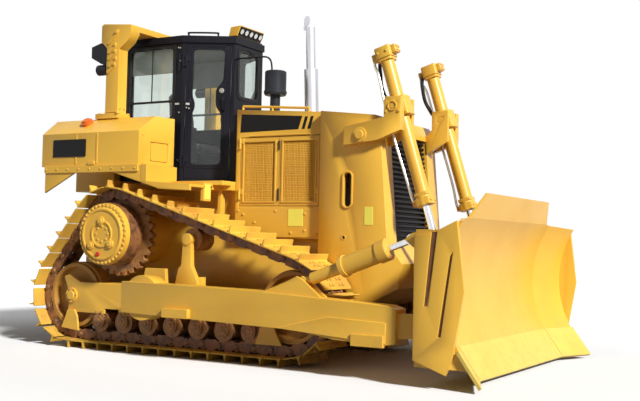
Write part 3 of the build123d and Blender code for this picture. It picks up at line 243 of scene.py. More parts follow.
@dataclass(frozen=True)
class Finish:
    """A named surface, the record slot that it stands for and its two main colours."""

    name: str
    slot: Slot
    base: Colour
    shade: Colour

    def make(self) -> bpy.types.Material:
        """Build the material."""
        tree = ShaderTree(self.name)
        self.paint(tree)
        return tree.material

    def paint(self, tree: ShaderTree) -> None:
        """Set the shader up."""
        raise NotImplementedError


@dataclass(frozen=True)
class Paint(Finish):
    """Sprayed enamel on steel, with dust low down and lighter edges that are partly wear and partly a painted
    highlight.
    """

    # edge colour: partly wear, partly a painted highlight along hard edges
    edge: Colour
    dust: Colour
    dust_top: float = 0.9
    dust_share: float = 0.35
    edge_share: float = 0.25
    roughness: float = 0.36
    coat: float = 0.12
    gloss: float = 0.35

    def paint(self, tree: ShaderTree) -> None:
        """Mix clouds, dust patches and lighter edges, partly wear and partly a painted highlight."""
        clouds = tree.span(tree.noise(1.7, 4.0), 0.35, 0.75)
        low = tree.span(tree.add("SeparateXYZ", Vector=tree.coords).outputs["Z"], self.dust_top, 0.1)
        patches = tree.span(tree.noise(9.0, 6.0), 0.42, 0.68)
        dusty = tree.math("MULTIPLY", low, patches, self.dust_share)
        # the edge mask lightens every hard edge: partly wear, partly a painted highlight
        soft, mask = tree.edges(0.006)
        colour = tree.blend(dusty, tree.blend(clouds, self.base, self.shade), self.dust)
        tree.shade(
            Base_Color=tree.blend(tree.math("MULTIPLY", mask, self.edge_share), colour, self.edge),
            Roughness=tree.math("ADD", tree.math("MULTIPLY", dusty, 0.4), tree.math("MULTIPLY", clouds, 0.08),
                                self.roughness),
            Specular_IOR_Level=self.gloss, Coat_Weight=self.coat, Coat_Roughness=0.2)
        tree.bump(tree.noise(160.0, 2.0), 0.12, 0.0006, soft)


@dataclass(frozen=True)
class RustySteel(Finish):
    """Bare running steel: brown scale with metal showing on edges, also used dark as painted shade in the blade's slots
    and seams.
    """

    bright: Colour
    bright_share: float = 0.5
    roughness: float = 0.55

    def paint(self, tree: ShaderTree) -> None:
        """Blotch the scale and rub the edges bright."""
        blotch = tree.span(tree.noise(14.0, 8.0), 0.38, 0.66)
        soft, mask = tree.edges(0.005)
        scuffs = tree.span(tree.noise(45.0, 4.0), 0.35, 0.6)
        rubbed = tree.math("MULTIPLY", mask, scuffs, self.bright_share)
        tree.shade(
            Base_Color=tree.blend(rubbed, tree.blend(blotch, self.base, self.shade), self.bright),
            Metallic=tree.math("MULTIPLY", rubbed, 0.8),
            Roughness=tree.math("SUBTRACT", self.roughness, tree.math("MULTIPLY", rubbed, 0.25)))
        tree.bump(tree.noise(70.0, 6.0), 0.35, 0.0015, soft)


@dataclass(frozen=True)
class PlainMetal(Finish):
    """Polished or heat-dulled metal with faint upright streaks."""

    roughness: float

    def paint(self, tree: ShaderTree) -> None:
        """Streak the metal."""
        stretch = (1.0, 1.0, 0.1)
        streaks = tree.noise(30.0, 4.0, stretch)
        tree.shade(Base_Color=tree.blend(tree.span(streaks, 0.35, 0.7), self.base, self.shade), Metallic=1.0,
                   Roughness=tree.math("ADD", tree.math("MULTIPLY", streaks, 0.12), self.roughness))
        tree.bump(tree.noise(220.0, 2.0, stretch), 0.08, 0.0004)


@dataclass(frozen=True)
class Moulded(Finish):
    """Moulded rubber or plastic with a fine grain."""

    roughness: float = 0.6
    grain: float = 380.0
    gloss: float = 0.2

    def paint(self, tree: ShaderTree) -> None:
        """Cloud the colour and grain the surface."""
        clouds = tree.span(tree.noise(6.0, 5.0), 0.3, 0.75)
        tree.shade(Base_Color=tree.blend(clouds, self.base, self.shade), Specular_IOR_Level=self.gloss,
                   Roughness=tree.math("ADD", tree.math("MULTIPLY", clouds, 0.12), self.roughness))
        tree.bump(tree.noise(self.grain, 3.0), 0.3, 0.0006)


@dataclass(frozen=True)
class Woven(Finish):
    """Seat cloth with a coarse weave and sheen."""

    def paint(self, tree: ShaderTree) -> None:
        """Cross two waves into a weave."""
        waves = [tree.add("TexWave", {"bands_direction": way}, Vector=tree.coords, Scale=90.0, Distortion=1.5)
                 for way in "XY"]
        weave = tree.math("MULTIPLY", *(wave.outputs["Fac"] for wave in waves))
        tree.shade(Base_Color=tree.blend(weave, self.base, self.shade), Sheen_Weight=0.4,
                   Roughness=tree.math("ADD", tree.math("MULTIPLY", weave, 0.1), 0.8))
        tree.bump(weave, 0.5, 0.001)


@dataclass(frozen=True)
class TintedGlass(Finish):
    """Lightly tinted safety glass."""

    def paint(self, tree: ShaderTree) -> None:
        """Tint the pane with a faint haze."""
        haze = tree.span(tree.noise(2.2, 4.0), 0.4, 0.8)
        tree.shade(Base_Color=tree.blend(haze, self.base, self.shade), Roughness=tree.math("MULTIPLY", haze, 0.05),
                   Transmission_Weight=1.0, IOR=1.45)


FINISHES: tuple[Finish, ...] = (
    # each Paint's third colour lightens its edges: partly wear, partly a painted highlight
    Paint("yellow_paint", Slot.YELLOW, (0.78, 0.445, 0.05), (0.73, 0.405, 0.045), (0.95, 0.66, 0.16),
          (0.46, 0.29, 0.11), dust_share=0.22),
    Paint("black_paint", Slot.BLACK, (0.008, 0.008, 0.012), (0.013, 0.013, 0.018), (0.07, 0.07, 0.085),
          (0.08, 0.07, 0.06), dust_share=0.05, edge_share=0.5, roughness=0.28, coat=0.0, gloss=0.12),
    Paint("shoe_paint", Slot.SHOE, (0.78, 0.47, 0.06), (0.55, 0.29, 0.05), (0.92, 0.66, 0.18), (0.3, 0.16, 0.06),
          dust_share=0.55, edge_share=0.5, roughness=0.5, coat=0.0, gloss=0.2),
    Paint("idler_paint", Slot.TRACK, (0.5, 0.25, 0.045), (0.36, 0.17, 0.035), (0.8, 0.55, 0.16), (0.25, 0.13, 0.05),
          dust_share=0.5, edge_share=0.6, roughness=0.45, coat=0.0, gloss=0.3),
    Paint("worn_steel", Slot.EDGE, (0.72, 0.52, 0.1), (0.66, 0.46, 0.085), (0.9, 0.75, 0.3), (0.45, 0.33, 0.13),
          dust_share=0.2, edge_share=0.6, roughness=0.42, coat=0.05, gloss=0.3),
    Paint("decal_black", Slot.BLACK, (0.01, 0.009, 0.009), (0.014, 0.013, 0.013), (0.03, 0.03, 0.03),
          (0.05, 0.04, 0.03), dust_share=0.0, edge_share=0.1, roughness=0.3, coat=0.0, gloss=0.12),
    Paint("decal_pale", Slot.YELLOW, (0.9, 0.82, 0.12), (0.86, 0.78, 0.11), (0.95, 0.9, 0.3), (0.5, 0.4, 0.2),
          dust_share=0.0, edge_share=0.1, roughness=0.4),
    Paint("signal_red", Slot.YELLOW, (0.55, 0.03, 0.015), (0.48, 0.025, 0.012), (0.7, 0.1, 0.06), (0.3, 0.1, 0.06),
          dust_share=0.1, edge_share=0.2, roughness=0.35),
    Paint("engine_grey", Slot.ENGINE, (0.3, 0.2, 0.06), (0.16, 0.12, 0.06), (0.4, 0.3, 0.15), (0.1, 0.08, 0.06),
          dust_top=2.0, roughness=0.5, coat=0.0),
    Paint("screen_amber", Slot.YELLOW, (0.78, 0.4, 0.045), (0.7, 0.34, 0.04), (0.85, 0.5, 0.1), (0.3, 0.2, 0.1),
          dust_share=0.1, edge_share=0.3, roughness=0.5, coat=0.0, gloss=0.2),
    RustySteel("track_steel", Slot.TRACK, (0.27, 0.115, 0.04), (0.1, 0.038, 0.018), (0.66, 0.42, 0.16)),
    RustySteel("roller_steel", Slot.TRACK, (0.38, 0.175, 0.05), (0.2, 0.085, 0.03), (0.66, 0.44, 0.18)),
    # slot_shade is painted shade: a dark brown for sheets laid in the blade's slots and seams, where only shade falls
    RustySteel("slot_shade", Slot.TRACK, (0.16, 0.065, 0.022), (0.12, 0.05, 0.018), (0.3, 0.16, 0.06), 0.1, 0.8),
    PlainMetal("chrome", Slot.CHROME, (0.78, 0.79, 0.8), (0.68, 0.69, 0.7), 0.08),
    PlainMetal("stack_metal", Slot.STACK, (0.66, 0.67, 0.7), (0.55, 0.55, 0.58), 0.28),
    PlainMetal("zinc", Slot.CHROME, (0.62, 0.6, 0.52), (0.5, 0.48, 0.42), 0.3),
    Moulded("dark_plastic", Slot.PLASTIC, (0.012, 0.012, 0.016), (0.02, 0.02, 0.024)),
    Moulded("cleaner_plastic", Slot.PLASTIC, (0.02, 0.022, 0.028), (0.03, 0.033, 0.04), 0.35, gloss=0.15),
    Moulded("hose_rubber", Slot.PLASTIC, (0.012, 0.012, 0.012), (0.025, 0.024, 0.023), 0.5, 500.0),
    # lamp_lens is a painted highlight: a pale diffuse colour on lenses that are dark with white glints
    Moulded("lamp_lens", Slot.GLASS, (0.75, 0.75, 0.72), (0.6, 0.6, 0.58), 0.12, 120.0),
    Moulded("cap_orange", Slot.YELLOW, (0.7, 0.16, 0.02), (0.6, 0.12, 0.02), 0.4),
    Woven("seat_cloth", Slot.SEAT, (0.02, 0.02, 0.022), (0.06, 0.06, 0.065)),
    Moulded("liner_grey", Slot.PLASTIC, (0.42, 0.43, 0.41), (0.36, 0.37, 0.35), 0.8),
    TintedGlass("cab_glass", Slot.GLASS, (0.83, 0.88, 0.85), (0.79, 0.85, 0.82)),
)


class Finishes:
    """All finishes of the machine, made once, with the record slots that they stand for."""

    def __init__(self) -> None:
        """Build every material and keep it by name."""
        self.materials: dict[str, bpy.types.Material] = {}
        self.slots: dict[str, Slot] = {}
        for recipe in FINISHES:
            self.materials[recipe.name] = recipe.make()
            self.slots[recipe.name] = recipe.slot
            log.info("finish %s", recipe.name)


@dataclass(frozen=True)
class Wall:
    """A flat face of the machine that details stand on."""

    origin: Point
    along: Point = FORWARDS
    up: Point = UPWARDS

    @property
    def out(self) -> Vector:
        """Give the direction that the face looks in."""
        return Vector(self.along).cross(Vector(self.up)).normalized()

    def at(self, u: float, v: float, depth: float = 0.0) -> Point:
        """Give the point at a place on the face, or out from it."""
        spot = Vector(self.origin) + Vector(self.along) * u + Vector(self.up) * v + self.out * depth
        return spot.x, spot.y, spot.z

    def heads(self, spots: list[Flat], depth: float = 0.0) -> list[tuple[Point, Point]]:
        """Give places and facings for bolt heads on the face."""
        return [(self.at(u, v, depth), tuple(self.out)) for u, v in spots]


def right_wall(y: float) -> Wall:
    """Give the face at a distance right of the middle, looking to the machine's right."""
    return Wall((0.0, -y, 0.0))


def front_wall(x: float) -> Wall:
    """Give the face across the machine that looks to the front."""
    return Wall((x, 0.0, 0.0), LEFTWARDS)


def rear_wall(x: float) -> Wall:
    """Give the face across the machine that looks to the rear."""
    return Wall((x, 0.0, 0.0), RIGHTWARDS)


def level(z: float) -> Wall:
    """Give the level face at a height, looking up."""
    return Wall((0.0, 0.0, z), FORWARDS, LEFTWARDS)


def rectangle(left: float, right: float, low: float, high: float) -> list[Flat]:
    """Give a rectangle's corners."""
    return [(left, low), (right, low), (right, high), (left, high)]


def rounded(left: float, right: float, low: float, high: float, radius: float, steps: int = 5) -> list[Flat]:
    """Give the outline of a rectangle with round corners.

    Args:
        left: Lowest place along.
        right: Highest place along.
        low: Lowest place up.
        high: Highest place up.
        radius: Radius of the corners.
        steps: Edges on each corner.

    Returns:
        Corners of the outline.
    """
    middles = ((right - radius, low + radius, -90), (right - radius, high - radius, 0),
               (left + radius, high - radius, 90), (left + radius, low + radius, 180))
    points = []
    for u, v, start in middles:
        for step in range(steps + 1):
            angle = math.radians(start + 90 * step / steps)
            points.append((u + radius * math.cos(angle), v + radius * math.sin(angle)))
    return points


def line_of(start: Flat, end: Flat, count: int) -> list[Flat]:
    """Give evenly spaced spots from one to another."""
    return [(start[0] + (end[0] - start[0]) * i / (count - 1), start[1] + (end[1] - start[1]) * i / (count - 1))
            for i in range(count)]


def eased(outline: list[Flat], reach: float, steps: int = 4) -> list[Flat]:
    """Give an outline with its corners rounded off.

    Args:
        outline: Corners of the outline.
        reach: How far from a corner its rounding starts.
        steps: Edges on each corner.

    Returns:
        Corners of the rounded outline.
    """
    points = []
    for index, corner in enumerate(outline):
        before, spot, after = (Vector(p) for p in (outline[index - 1], corner, outline[(index + 1) % len(outline)]))
        start = spot + (before - spot).normalized() * min(reach, (before - spot).length * 0.45)
        end = spot + (after - spot).normalized() * min(reach, (after - spot).length * 0.45)
        for step in range(steps + 1):
            share = step / steps
            point = start * (1 - share) ** 2 + spot * 2 * share * (1 - share) + end * share ** 2
            points.append((point.x, point.y))
    return points


def grown(outline: list[Flat], distance: float) -> list[Flat]:
    """Give an outline moved outwards all round, or inwards by a negative distance."""
    spots = [Vector(p) for p in outline]
    points = []
    for index, spot in enumerate(spots):
        into = (spot - spots[index - 1]).normalized()
        away = (spots[(index + 1) % len(spots)] - spot).normalized()
        first, second = Vector((into.y, -into.x)), Vector((away.y, -away.x))
        move = (first + second) * distance / (1 + first.dot(second))
        points.append((spot.x + move.x, spot.y + move.y))
    return points


def circle_of(centre: Flat, radius: float, count: int) -> list[Flat]:
    """Give evenly spaced spots round a centre."""
    turns = [2 * math.pi * i / count for i in range(count)]
    return [(centre[0] + radius * math.cos(t), centre[1] + radius * math.sin(t)) for t in turns]


def heading(angle: float) -> Vector:
    """Give the flat unit vector at an angle."""
    return Vector((math.cos(angle), math.sin(angle)))


def linked(name: str, data: bpy.types.ID) -> bpy.types.Object:
    """Make an object of some data and link it to the scene."""
    thing = bpy.data.objects.new(name, data)
    bpy.context.scene.collection.objects.link(thing)
    return thing


class Shape:
    """A mesh under construction, in the frame's axes."""

    def __init__(self) -> None:
        """Start empty."""
        self.mesh = bmesh.new()

    def row(self, wall: Wall, outline: list[Flat], depth: float) -> list[bmesh.types.BMVert]:
        """Add an outline's corners at a depth from a wall."""
        return [self.mesh.verts.new(wall.at(u, v, depth)) for u, v in outline]

    def skin(self, first: list[bmesh.types.BMVert], second: list[bmesh.types.BMVert]) -> None:
        """Join two closed rows of as many corners by faces."""
        for corners in zip(first, first[1:] + first[:1], second[1:] + second[:1], second):
            self.mesh.faces.new(corners)

    def box(self, low: Point, high: Point) -> "Shape":
        """Add a box between two corners."""
        centre = (Vector(low) + Vector(high)) / 2
        size = Vector(high) - Vector(low)
        matrix = Matrix.Translation(centre) @ Matrix.Diagonal((*[abs(s) for s in size], 1.0))
        bmesh.ops.create_cube(self.mesh, size=1.0, matrix=matrix)
        return self

    def rod(self, start: Point, end: Point, radius: float, far_radius: float | None = None,
            sides: int = 24) -> "Shape":
        """Add a round bar or cone.

        Args:
            start: Centre of the first end.
            end: Centre of the far end.
            radius: Radius at the first end.
            far_radius: Radius at the far end, if it differs.
            sides: Number of flats round it.

        Returns:
            This shape.
        """
        run = Vector(end) - Vector(start)
        turn = run.to_track_quat("Z", "Y").to_matrix().to_4x4()
        matrix = Matrix.Translation((Vector(start) + Vector(end)) / 2) @ turn
        bmesh.ops.create_cone(self.mesh, cap_ends=True, segments=sides, radius1=radius,
                              radius2=radius if far_radius is None else far_radius, depth=run.length, matrix=matrix)
        return self

    def ring(self, centre: Point, axis: Point, profile: list[Flat], sides: int = 48) -> "Shape":
        """Turn a closed profile about an axis.

        Args:
            centre: Point that distances along the axis start from.
            axis: Direction of the axis.
            profile: Corners as (distance along the axis, radius), closed onto the first.
            sides: Number of steps round.

        Returns:
            This shape.
        """
        along = Vector(axis).normalized()
        side = along.orthogonal().normalized()
        third = along.cross(side)
        rows = []
        for step in range(sides):
            angle = 2 * math.pi * step / sides
            out = side * math.cos(angle) + third * math.sin(angle)
            rows.append([self.mesh.verts.new(Vector(centre) + along * d + out * r) for d, r in profile])
        for now, after in zip(rows, rows[1:] + rows[:1]):
            self.skin(now, after)
        return self

    def plate(self, wall: Wall, outline: list[Flat], low: float, high: float) -> "Shape":
        """Stretch an outline out from a wall.

        Args:
            wall: Face that the outline lies on.
            outline: Corners as (along, up) on the wall.
            low: Depth where the plate starts.
            high: Depth where it ends.

        Returns:
            This shape.
        """
        near, far = self.row(wall, outline, low), self.row(wall, outline, high)
        self.mesh.faces.new(near)
        self.mesh.faces.new(list(reversed(far)))
        for corners in zip(near, far, far[1:] + far[:1], near[1:] + near[:1]):
            self.mesh.faces.new(corners)
        return self

    def border(self, wall: Wall, outer: list[Flat], inner: list[Flat], low: float, high: float) -> "Shape":
        """Stretch the band between two outlines with as many corners out from a wall.

        Args:
            wall: Face that the band lies on.
            outer: Corners of its outside.
            inner: Corners of its inside, in the same order.
            low: Depth where the band starts.
            high: Depth where it ends.

        Returns:
            This shape.
        """
        rows = [self.row(wall, *line) for line in ((outer, low), (outer, high), (inner, high), (inner, low))]
        for first, second in zip(rows, rows[1:] + rows[:1]):
            self.skin(first, second)
        return self

    def disc(self, wall: Wall, spot: Flat, radius: float, low: float, high: float, sides: int = 24) -> "Shape":
        """Stand a round boss on a wall."""
        return self.rod(wall.at(*spot, low), wall.at(*spot, high), radius, sides=sides)

    def tube(self, route: list[Point], radius: float, sides: int = 10, steps: int = 6) -> "Shape":
        """Lay a round tube along a smooth route through points.

        Args:
            route: Points that the tube passes near.
            radius: Radius of the tube.
            sides: Number of flats round it.
            steps: Pieces between two points.

        Returns:
            This shape.
        """
        spots = [Vector(p) for p in route]
        spots = [spots[0], *spots, spots[-1]]
        line = []
        for i in range(1, len(spots) - 2):
            a, b, c, d = spots[i - 1], spots[i], spots[i + 1], spots[i + 2]
            for step in range(steps):
                t = step / steps
                line.append(0.5 * ((2 * b) + (c - a) * t + (2 * a - 5 * b + 4 * c - d) * t * t
                                   + (3 * b - a - 3 * c + d) * t * t * t))
        line.append(spots[-1])
        rows = []
        normal = (line[1] - line[0]).orthogonal().normalized()
        for i, spot in enumerate(line):
            along = (line[min(i + 1, len(line) - 1)] - line[max(i - 1, 0)]).normalized()
            normal = (normal - along * normal.dot(along)).normalized()
            third = along.cross(normal)
            rows.append([self.mesh.verts.new(spot + (normal * math.cos(2 * math.pi * k / sides)
                                                     + third * math.sin(2 * math.pi * k / sides)) * radius)
                         for k in range(sides)])
        for now, after in zip(rows, rows[1:]):
            self.skin(now, after)
        self.mesh.faces.new(list(reversed(rows[0])))
        self.mesh.faces.new(rows[-1])
        return self

    def flip_copy(self) -> "Shape":
        """Add a copy mirrored to the machine's other side."""
        doubled = bmesh.ops.duplicate(self.mesh, geom=self.mesh.verts[:] + self.mesh.edges[:] + self.mesh.faces[:])
        verts = [g for g in doubled["geom"] if isinstance(g, bmesh.types.BMVert)]
        faces = [g for g in doubled["geom"] if isinstance(g, bmesh.types.BMFace)]
        for vert in verts:
            vert.co.y = -vert.co.y
        bmesh.ops.reverse_faces(self.mesh, faces=faces)
        return self

    def to_object(self, name: str) -> bpy.types.Object:
        """Turn the shape into a plain object.

        Args:
            name: Name of the object.

        Returns:
            The new object, linked to the scene.
        """
        bmesh.ops.recalc_face_normals(self.mesh, faces=self.mesh.faces[:])
        data = bpy.data.meshes.new(name)
        self.mesh.to_mesh(data)
        self.mesh.free()
        return linked(name, data)


def placed(shape: Shape, side: Side) -> Shape:
    """Leave a right side shape where it is, or move it to the machine's left."""
    for vert in shape.mesh.verts:
        vert.co.y *= -side.value
    return shape


def facing(points: list[tuple[Point, Point]], side: Side) -> list[tuple[Point, Point]]:
    """Give right side places and facings for a side of the machine."""
    turn = -side.value
    return [((x, y * turn, z), (a, b * turn, c)) for (x, y, z), (a, b, c) in points]


def bake(thing: bpy.types.Object) -> bpy.types.Object:
    """Turn an object's evaluated result into its own plain mesh.

    Args:
        thing: Object with a Geometry Nodes modifier.

    Returns:
        The same object, with a plain mesh and no modifier.
    """
    graph = bpy.context.evaluated_depsgraph_get()
    solid = bpy.data.meshes.new_from_object(thing.evaluated_get(graph))
    solid.name = thing.name
    thing.modifiers.clear()
    thing.data = solid
    return thing


class PointTree(NodeTree):
    """Geometry Nodes tree that stands a piece on every point and gives the whole a finish."""

    title: str
    sockets: tuple[tuple[str, str], ...]
    directions: tuple[str, ...]

    def __init__(self) -> None:
        """Build the tree once."""
        self.tree = bpy.data.node_groups.new(self.title, "GeometryNodeTree")
        super().__init__(self.tree)
        face = self.tree.interface
        self.named = {
            name: face.new_socket(name, in_out="INPUT", socket_type="NodeSocket" + kind)
            for name, kind in (("Geometry", "Geometry"), *self.sockets, ("Finish", "Material"))
        }
        face.new_socket("Geometry", in_out="OUTPUT", socket_type="NodeSocketGeometry")
        self.given = self.add("NodeGroupInput").outputs
        place = self.add("GeometryNodeInstanceOnPoints", Points=self.given["Geometry"], Instance=self.piece(),
                         **self.stance())
        real = self.add("GeometryNodeRealizeInstances", Geometry=place.outputs["Instances"])
        paint = self.add("GeometryNodeSetMaterial", Geometry=real.outputs["Geometry"], Material=self.given["Finish"])
        self.add("NodeGroupOutput", Geometry=paint.outputs["Geometry"])

    def piece(self) -> bpy.types.NodeSocket:
        """Give the piece that stands on the points."""
        raise NotImplementedError

    def stance(self) -> dict[str, bpy.types.NodeSocket]:
        """Give how the piece is turned and scaled."""
        raise NotImplementedError

    def read(self, attribute: str) -> bpy.types.NodeSocket:
        """Give a direction that is stored on the points."""
        reader = self.add("GeometryNodeInputNamedAttribute", {"data_type": "FLOAT_VECTOR"}, Name=attribute)
        return reader.outputs["Attribute"]

    def run(self, name: str, points: list[tuple[Point, ...]], **values: object) -> bpy.types.Object:
        """Run the tree on points and make the result a plain mesh.

        Args:
            name: Name of the result.
            points: Each point's place, and then its directions in the tree's order.
            values: The tree's inputs by name, with underscores for spaces.

        Returns:
            The plain object.
        """
        data = bpy.data.meshes.new(name)
        data.from_pydata([point[0] for point in points], [], [])
        for column, attribute in enumerate(self.directions, 1):
            stored = data.attributes.new(attribute, "FLOAT_VECTOR", "POINT")
            stored.data.foreach_set("vector", [v for point in points for v in point[column]])
        thing = linked(name, data)
        modifier = thing.modifiers.new(self.title, "NODES")
        modifier.node_group = self.tree
        for key, value in values.items():
            modifier[self.named[key.replace("_", " ")].identifier] = value
        return bake(thing)


class HardwareTree(PointTree):
    """Tree that puts a hexagon head on a washer at every point."""

    title = "Hexagon heads"
    sockets = (("Head radius", "Float"), ("Head height", "Float"), ("Washer radius", "Float"))
    directions = ("facing",)

    def piece(self) -> bpy.types.NodeSocket:
        """Join a six-sided head and a round washer of half its height."""
        height = self.given["Head height"]
        head = self.add("GeometryNodeMeshCylinder", Vertices=6, Radius=self.given["Head radius"], Depth=height)
        washer = self.add("GeometryNodeMeshCylinder", Vertices=10, Radius=self.given["Washer radius"],
                          Depth=self.math("MULTIPLY", height, 0.5))
        join = self.add("GeometryNodeJoinGeometry")
        for part in (head, washer):
            self.feed(join.inputs[0], part.outputs["Mesh"])
        return join.outputs[0]

    def stance(self) -> dict[str, bpy.types.NodeSocket]:
        """Turn each head the way that it faces."""
        align = self.add("FunctionNodeAlignEulerToVector", {"axis": "Z"}, Vector=self.read("facing"))
        return {"Rotation": align.outputs[0]}


class CopyTree(PointTree):
    """Tree that repeats a pattern piece at every point, turned by two axes."""

    title = "Copies on points"
    sockets = (("Pattern piece", "Object"), ("Size", "Float"))
    directions = ("facing", "along")

    def piece(self) -> bpy.types.NodeSocket:
        """Take the pattern piece."""
        return self.add("GeometryNodeObjectInfo", Object=self.given["Pattern piece"]).outputs["Geometry"]

    def stance(self) -> dict[str, bpy.types.NodeSocket]:
        """Turn each copy's Z and X to its two directions, and scale it."""
        turn = self.add("FunctionNodeAxesToRotation", {"primary_axis": "Z", "secondary_axis": "X"},
                        Primary_Axis=self.read("facing"), Secondary_Axis=self.read("along"))
        return {"Rotation": turn.outputs["Rotation"], "Scale": self.given["Size"]}


@dataclass
class Workshop:
    """Finishes pieces, fixes hardware to them and sets them on their bodies."""

    frame: dict
    finishes: Finishes
    heads: HardwareTree
    copies: CopyTree

    def settle(self, thing: bpy.types.Object, finish: str, body: str = "root", replaces: tuple[str, ...] = (),
               bevel: float = 0.0, smooth: float = 35.0) -> None:
        """Dress a piece and let it ride on its body.

        Args:
            thing: The piece.
            finish: Name of its finish.
            body: CAD body that it rides on.
            replaces: CAD nodes that it stands for.
            bevel: Width of its rounded edges.
            smooth: Largest angle that is shaded smooth, in degrees.
        """
        thing.data.materials.clear()
        thing.data.materials.append(self.finishes.materials[finish])
        for face in thing.data.polygons:
            face.use_smooth = True
            face.material_index = 0
        if bevel:
            rounder = thing.modifiers.new("Rounded edges", "BEVEL")
            rounder.width = bevel
            rounder.segments = 2
            rounder.limit_method = "ANGLE"
            rounder.angle_limit = math.radians(smooth)
            rounder.harden_normals = True
        else:
            thing.data.set_sharp_from_angle(angle=math.radians(smooth))
        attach(thing, body)
        if replaces:
            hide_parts(*replaces)
        log.info("piece %s", thing.name)

    def shape(self, name: str, shape: Shape, finish: str, **options: object) -> None:
        """Turn a shape into a finished piece."""
        self.settle(shape.to_object(name), finish, **options)

    def dress(self, node: str, finish: str) -> None:
        """Give a CAD node its finish."""
        for place in self.frame["nodes"][node].material_slots:
            place.material = self.finishes.materials[finish]

    def rounded_copy(self, node: str, finish: str, bevel: float) -> None:
        """Replace a CAD node by a merged copy with rounded edges.

        Args:
            node: Name of the node.
            finish: Name of the finish.
            bevel: Width of the rounded edges.
        """
        mesh = bmesh.new()
        mesh.from_mesh(self.frame["nodes"][node].data)
        bmesh.ops.remove_doubles(mesh, verts=mesh.verts[:], dist=MERGE_DISTANCE)
        bmesh.ops.dissolve_limit(mesh, angle_limit=math.radians(1), verts=mesh.verts[:], edges=mesh.edges[:])
        data = bpy.data.meshes.new(node + "_plates")
        mesh.to_mesh(data)
        mesh.free()
        bodies = self.frame["record"]["behaviour"]["bodies"]
        body = next(name for name, nodes in bodies.items() if node in nodes)
        self.settle(linked(node + "_plates", data), finish, body=body, replaces=(node,), bevel=bevel)

    def bolt(self, name: str, points: list[tuple[Point, Point]], radius: float, finish: str = "yellow_paint",
             body: str = "root", both_sides: bool = False) -> None:
        """Put hexagon heads on points.

        Args:
            name: Name of the piece.
            points: Places and the directions that the heads face.
            radius: Radius of a head over its corners.
            finish: Name of the finish.
            body: CAD body that they ride on.
            both_sides: Whether the same heads stand on the other side too.
        """
        if both_sides:
            points = points + facing(points, Side.LEFT)
        heads = self.heads.run(name, points, Head_radius=radius, Head_height=radius * HEAD_HEIGHT,
                               Washer_radius=radius * WASHER_RADIUS, Finish=self.finishes.materials[finish])
        self.settle(heads, finish, body=body)

    def repeat(self, name: str, pattern: Shape, places: list[tuple[Point, Point, Point]], finish: str,
               **options: object) -> None:
        """Repeat a pattern piece.

        Args:
            name: Name of the piece.
            pattern: Shape that is repeated, with +Z outwards and +X along.
            places: Place, outward direction and direction along, for each copy.
            finish: Name of the finish.
            options: Further options of settle.
        """
        model = pattern.to_object(name + "_pattern")
        copies = self.copies.run(name, places, Pattern_piece=model, Size=1.0, Finish=self.finishes.materials[finish])
        bpy.data.objects.remove(model)
        self.settle(copies, finish, **options)


@dataclass
class Plating:
    """Finishes of the CAD nodes, the plate work among them with rounded edges."""

    edge: float = 0.005
    rounded_nodes: str = (
        "hull belly_guard drawbar hood radiator_guard side_tanks fuel_tank fenders platform rops lift_yokes "
        "track_frame_right track_frame_left push_arm_right push_arm_left blade_frame carrier_posts equalizer_bar"
    )
    plain_nodes: tuple[tuple[str, str], ...] = (
        ("yellow_paint", "moldboard final_drives arm_trunnions lift_barrel_right lift_barrel_left tilt_cylinder "
                         "screw_brace handrails"),
        ("black_paint", "radiator_grille cab_shell cab_roof cab_door_right cab_door_left"),
        ("roller_steel", "pivot_shafts track_rollers carrier_rollers sprockets"),
        ("idler_paint", "idlers"),
        ("worn_steel", "cutting_edge end_bits"),
        ("engine_grey", "engine_block"),
        ("stack_metal", "exhaust_stack rain_cap"),
        ("cleaner_plastic", "precleaner"),
        ("dark_plastic", "rear_lamps console"),
        ("cab_glass", "cab_glass door_glass_right door_glass_left"),
        ("seat_cloth", "seat"),
        ("chrome", "lift_rod_right lift_rod_left tilt_rod"),
    )

    def build(self, shop: Workshop) -> None:
        """Dress every CAD node that stays in view."""
        for node in self.rounded_nodes.split():
            shop.rounded_copy(node, "yellow_paint", self.edge)
        for finish, nodes in self.plain_nodes:
            for node in nodes.split():
                shop.dress(node, finish)


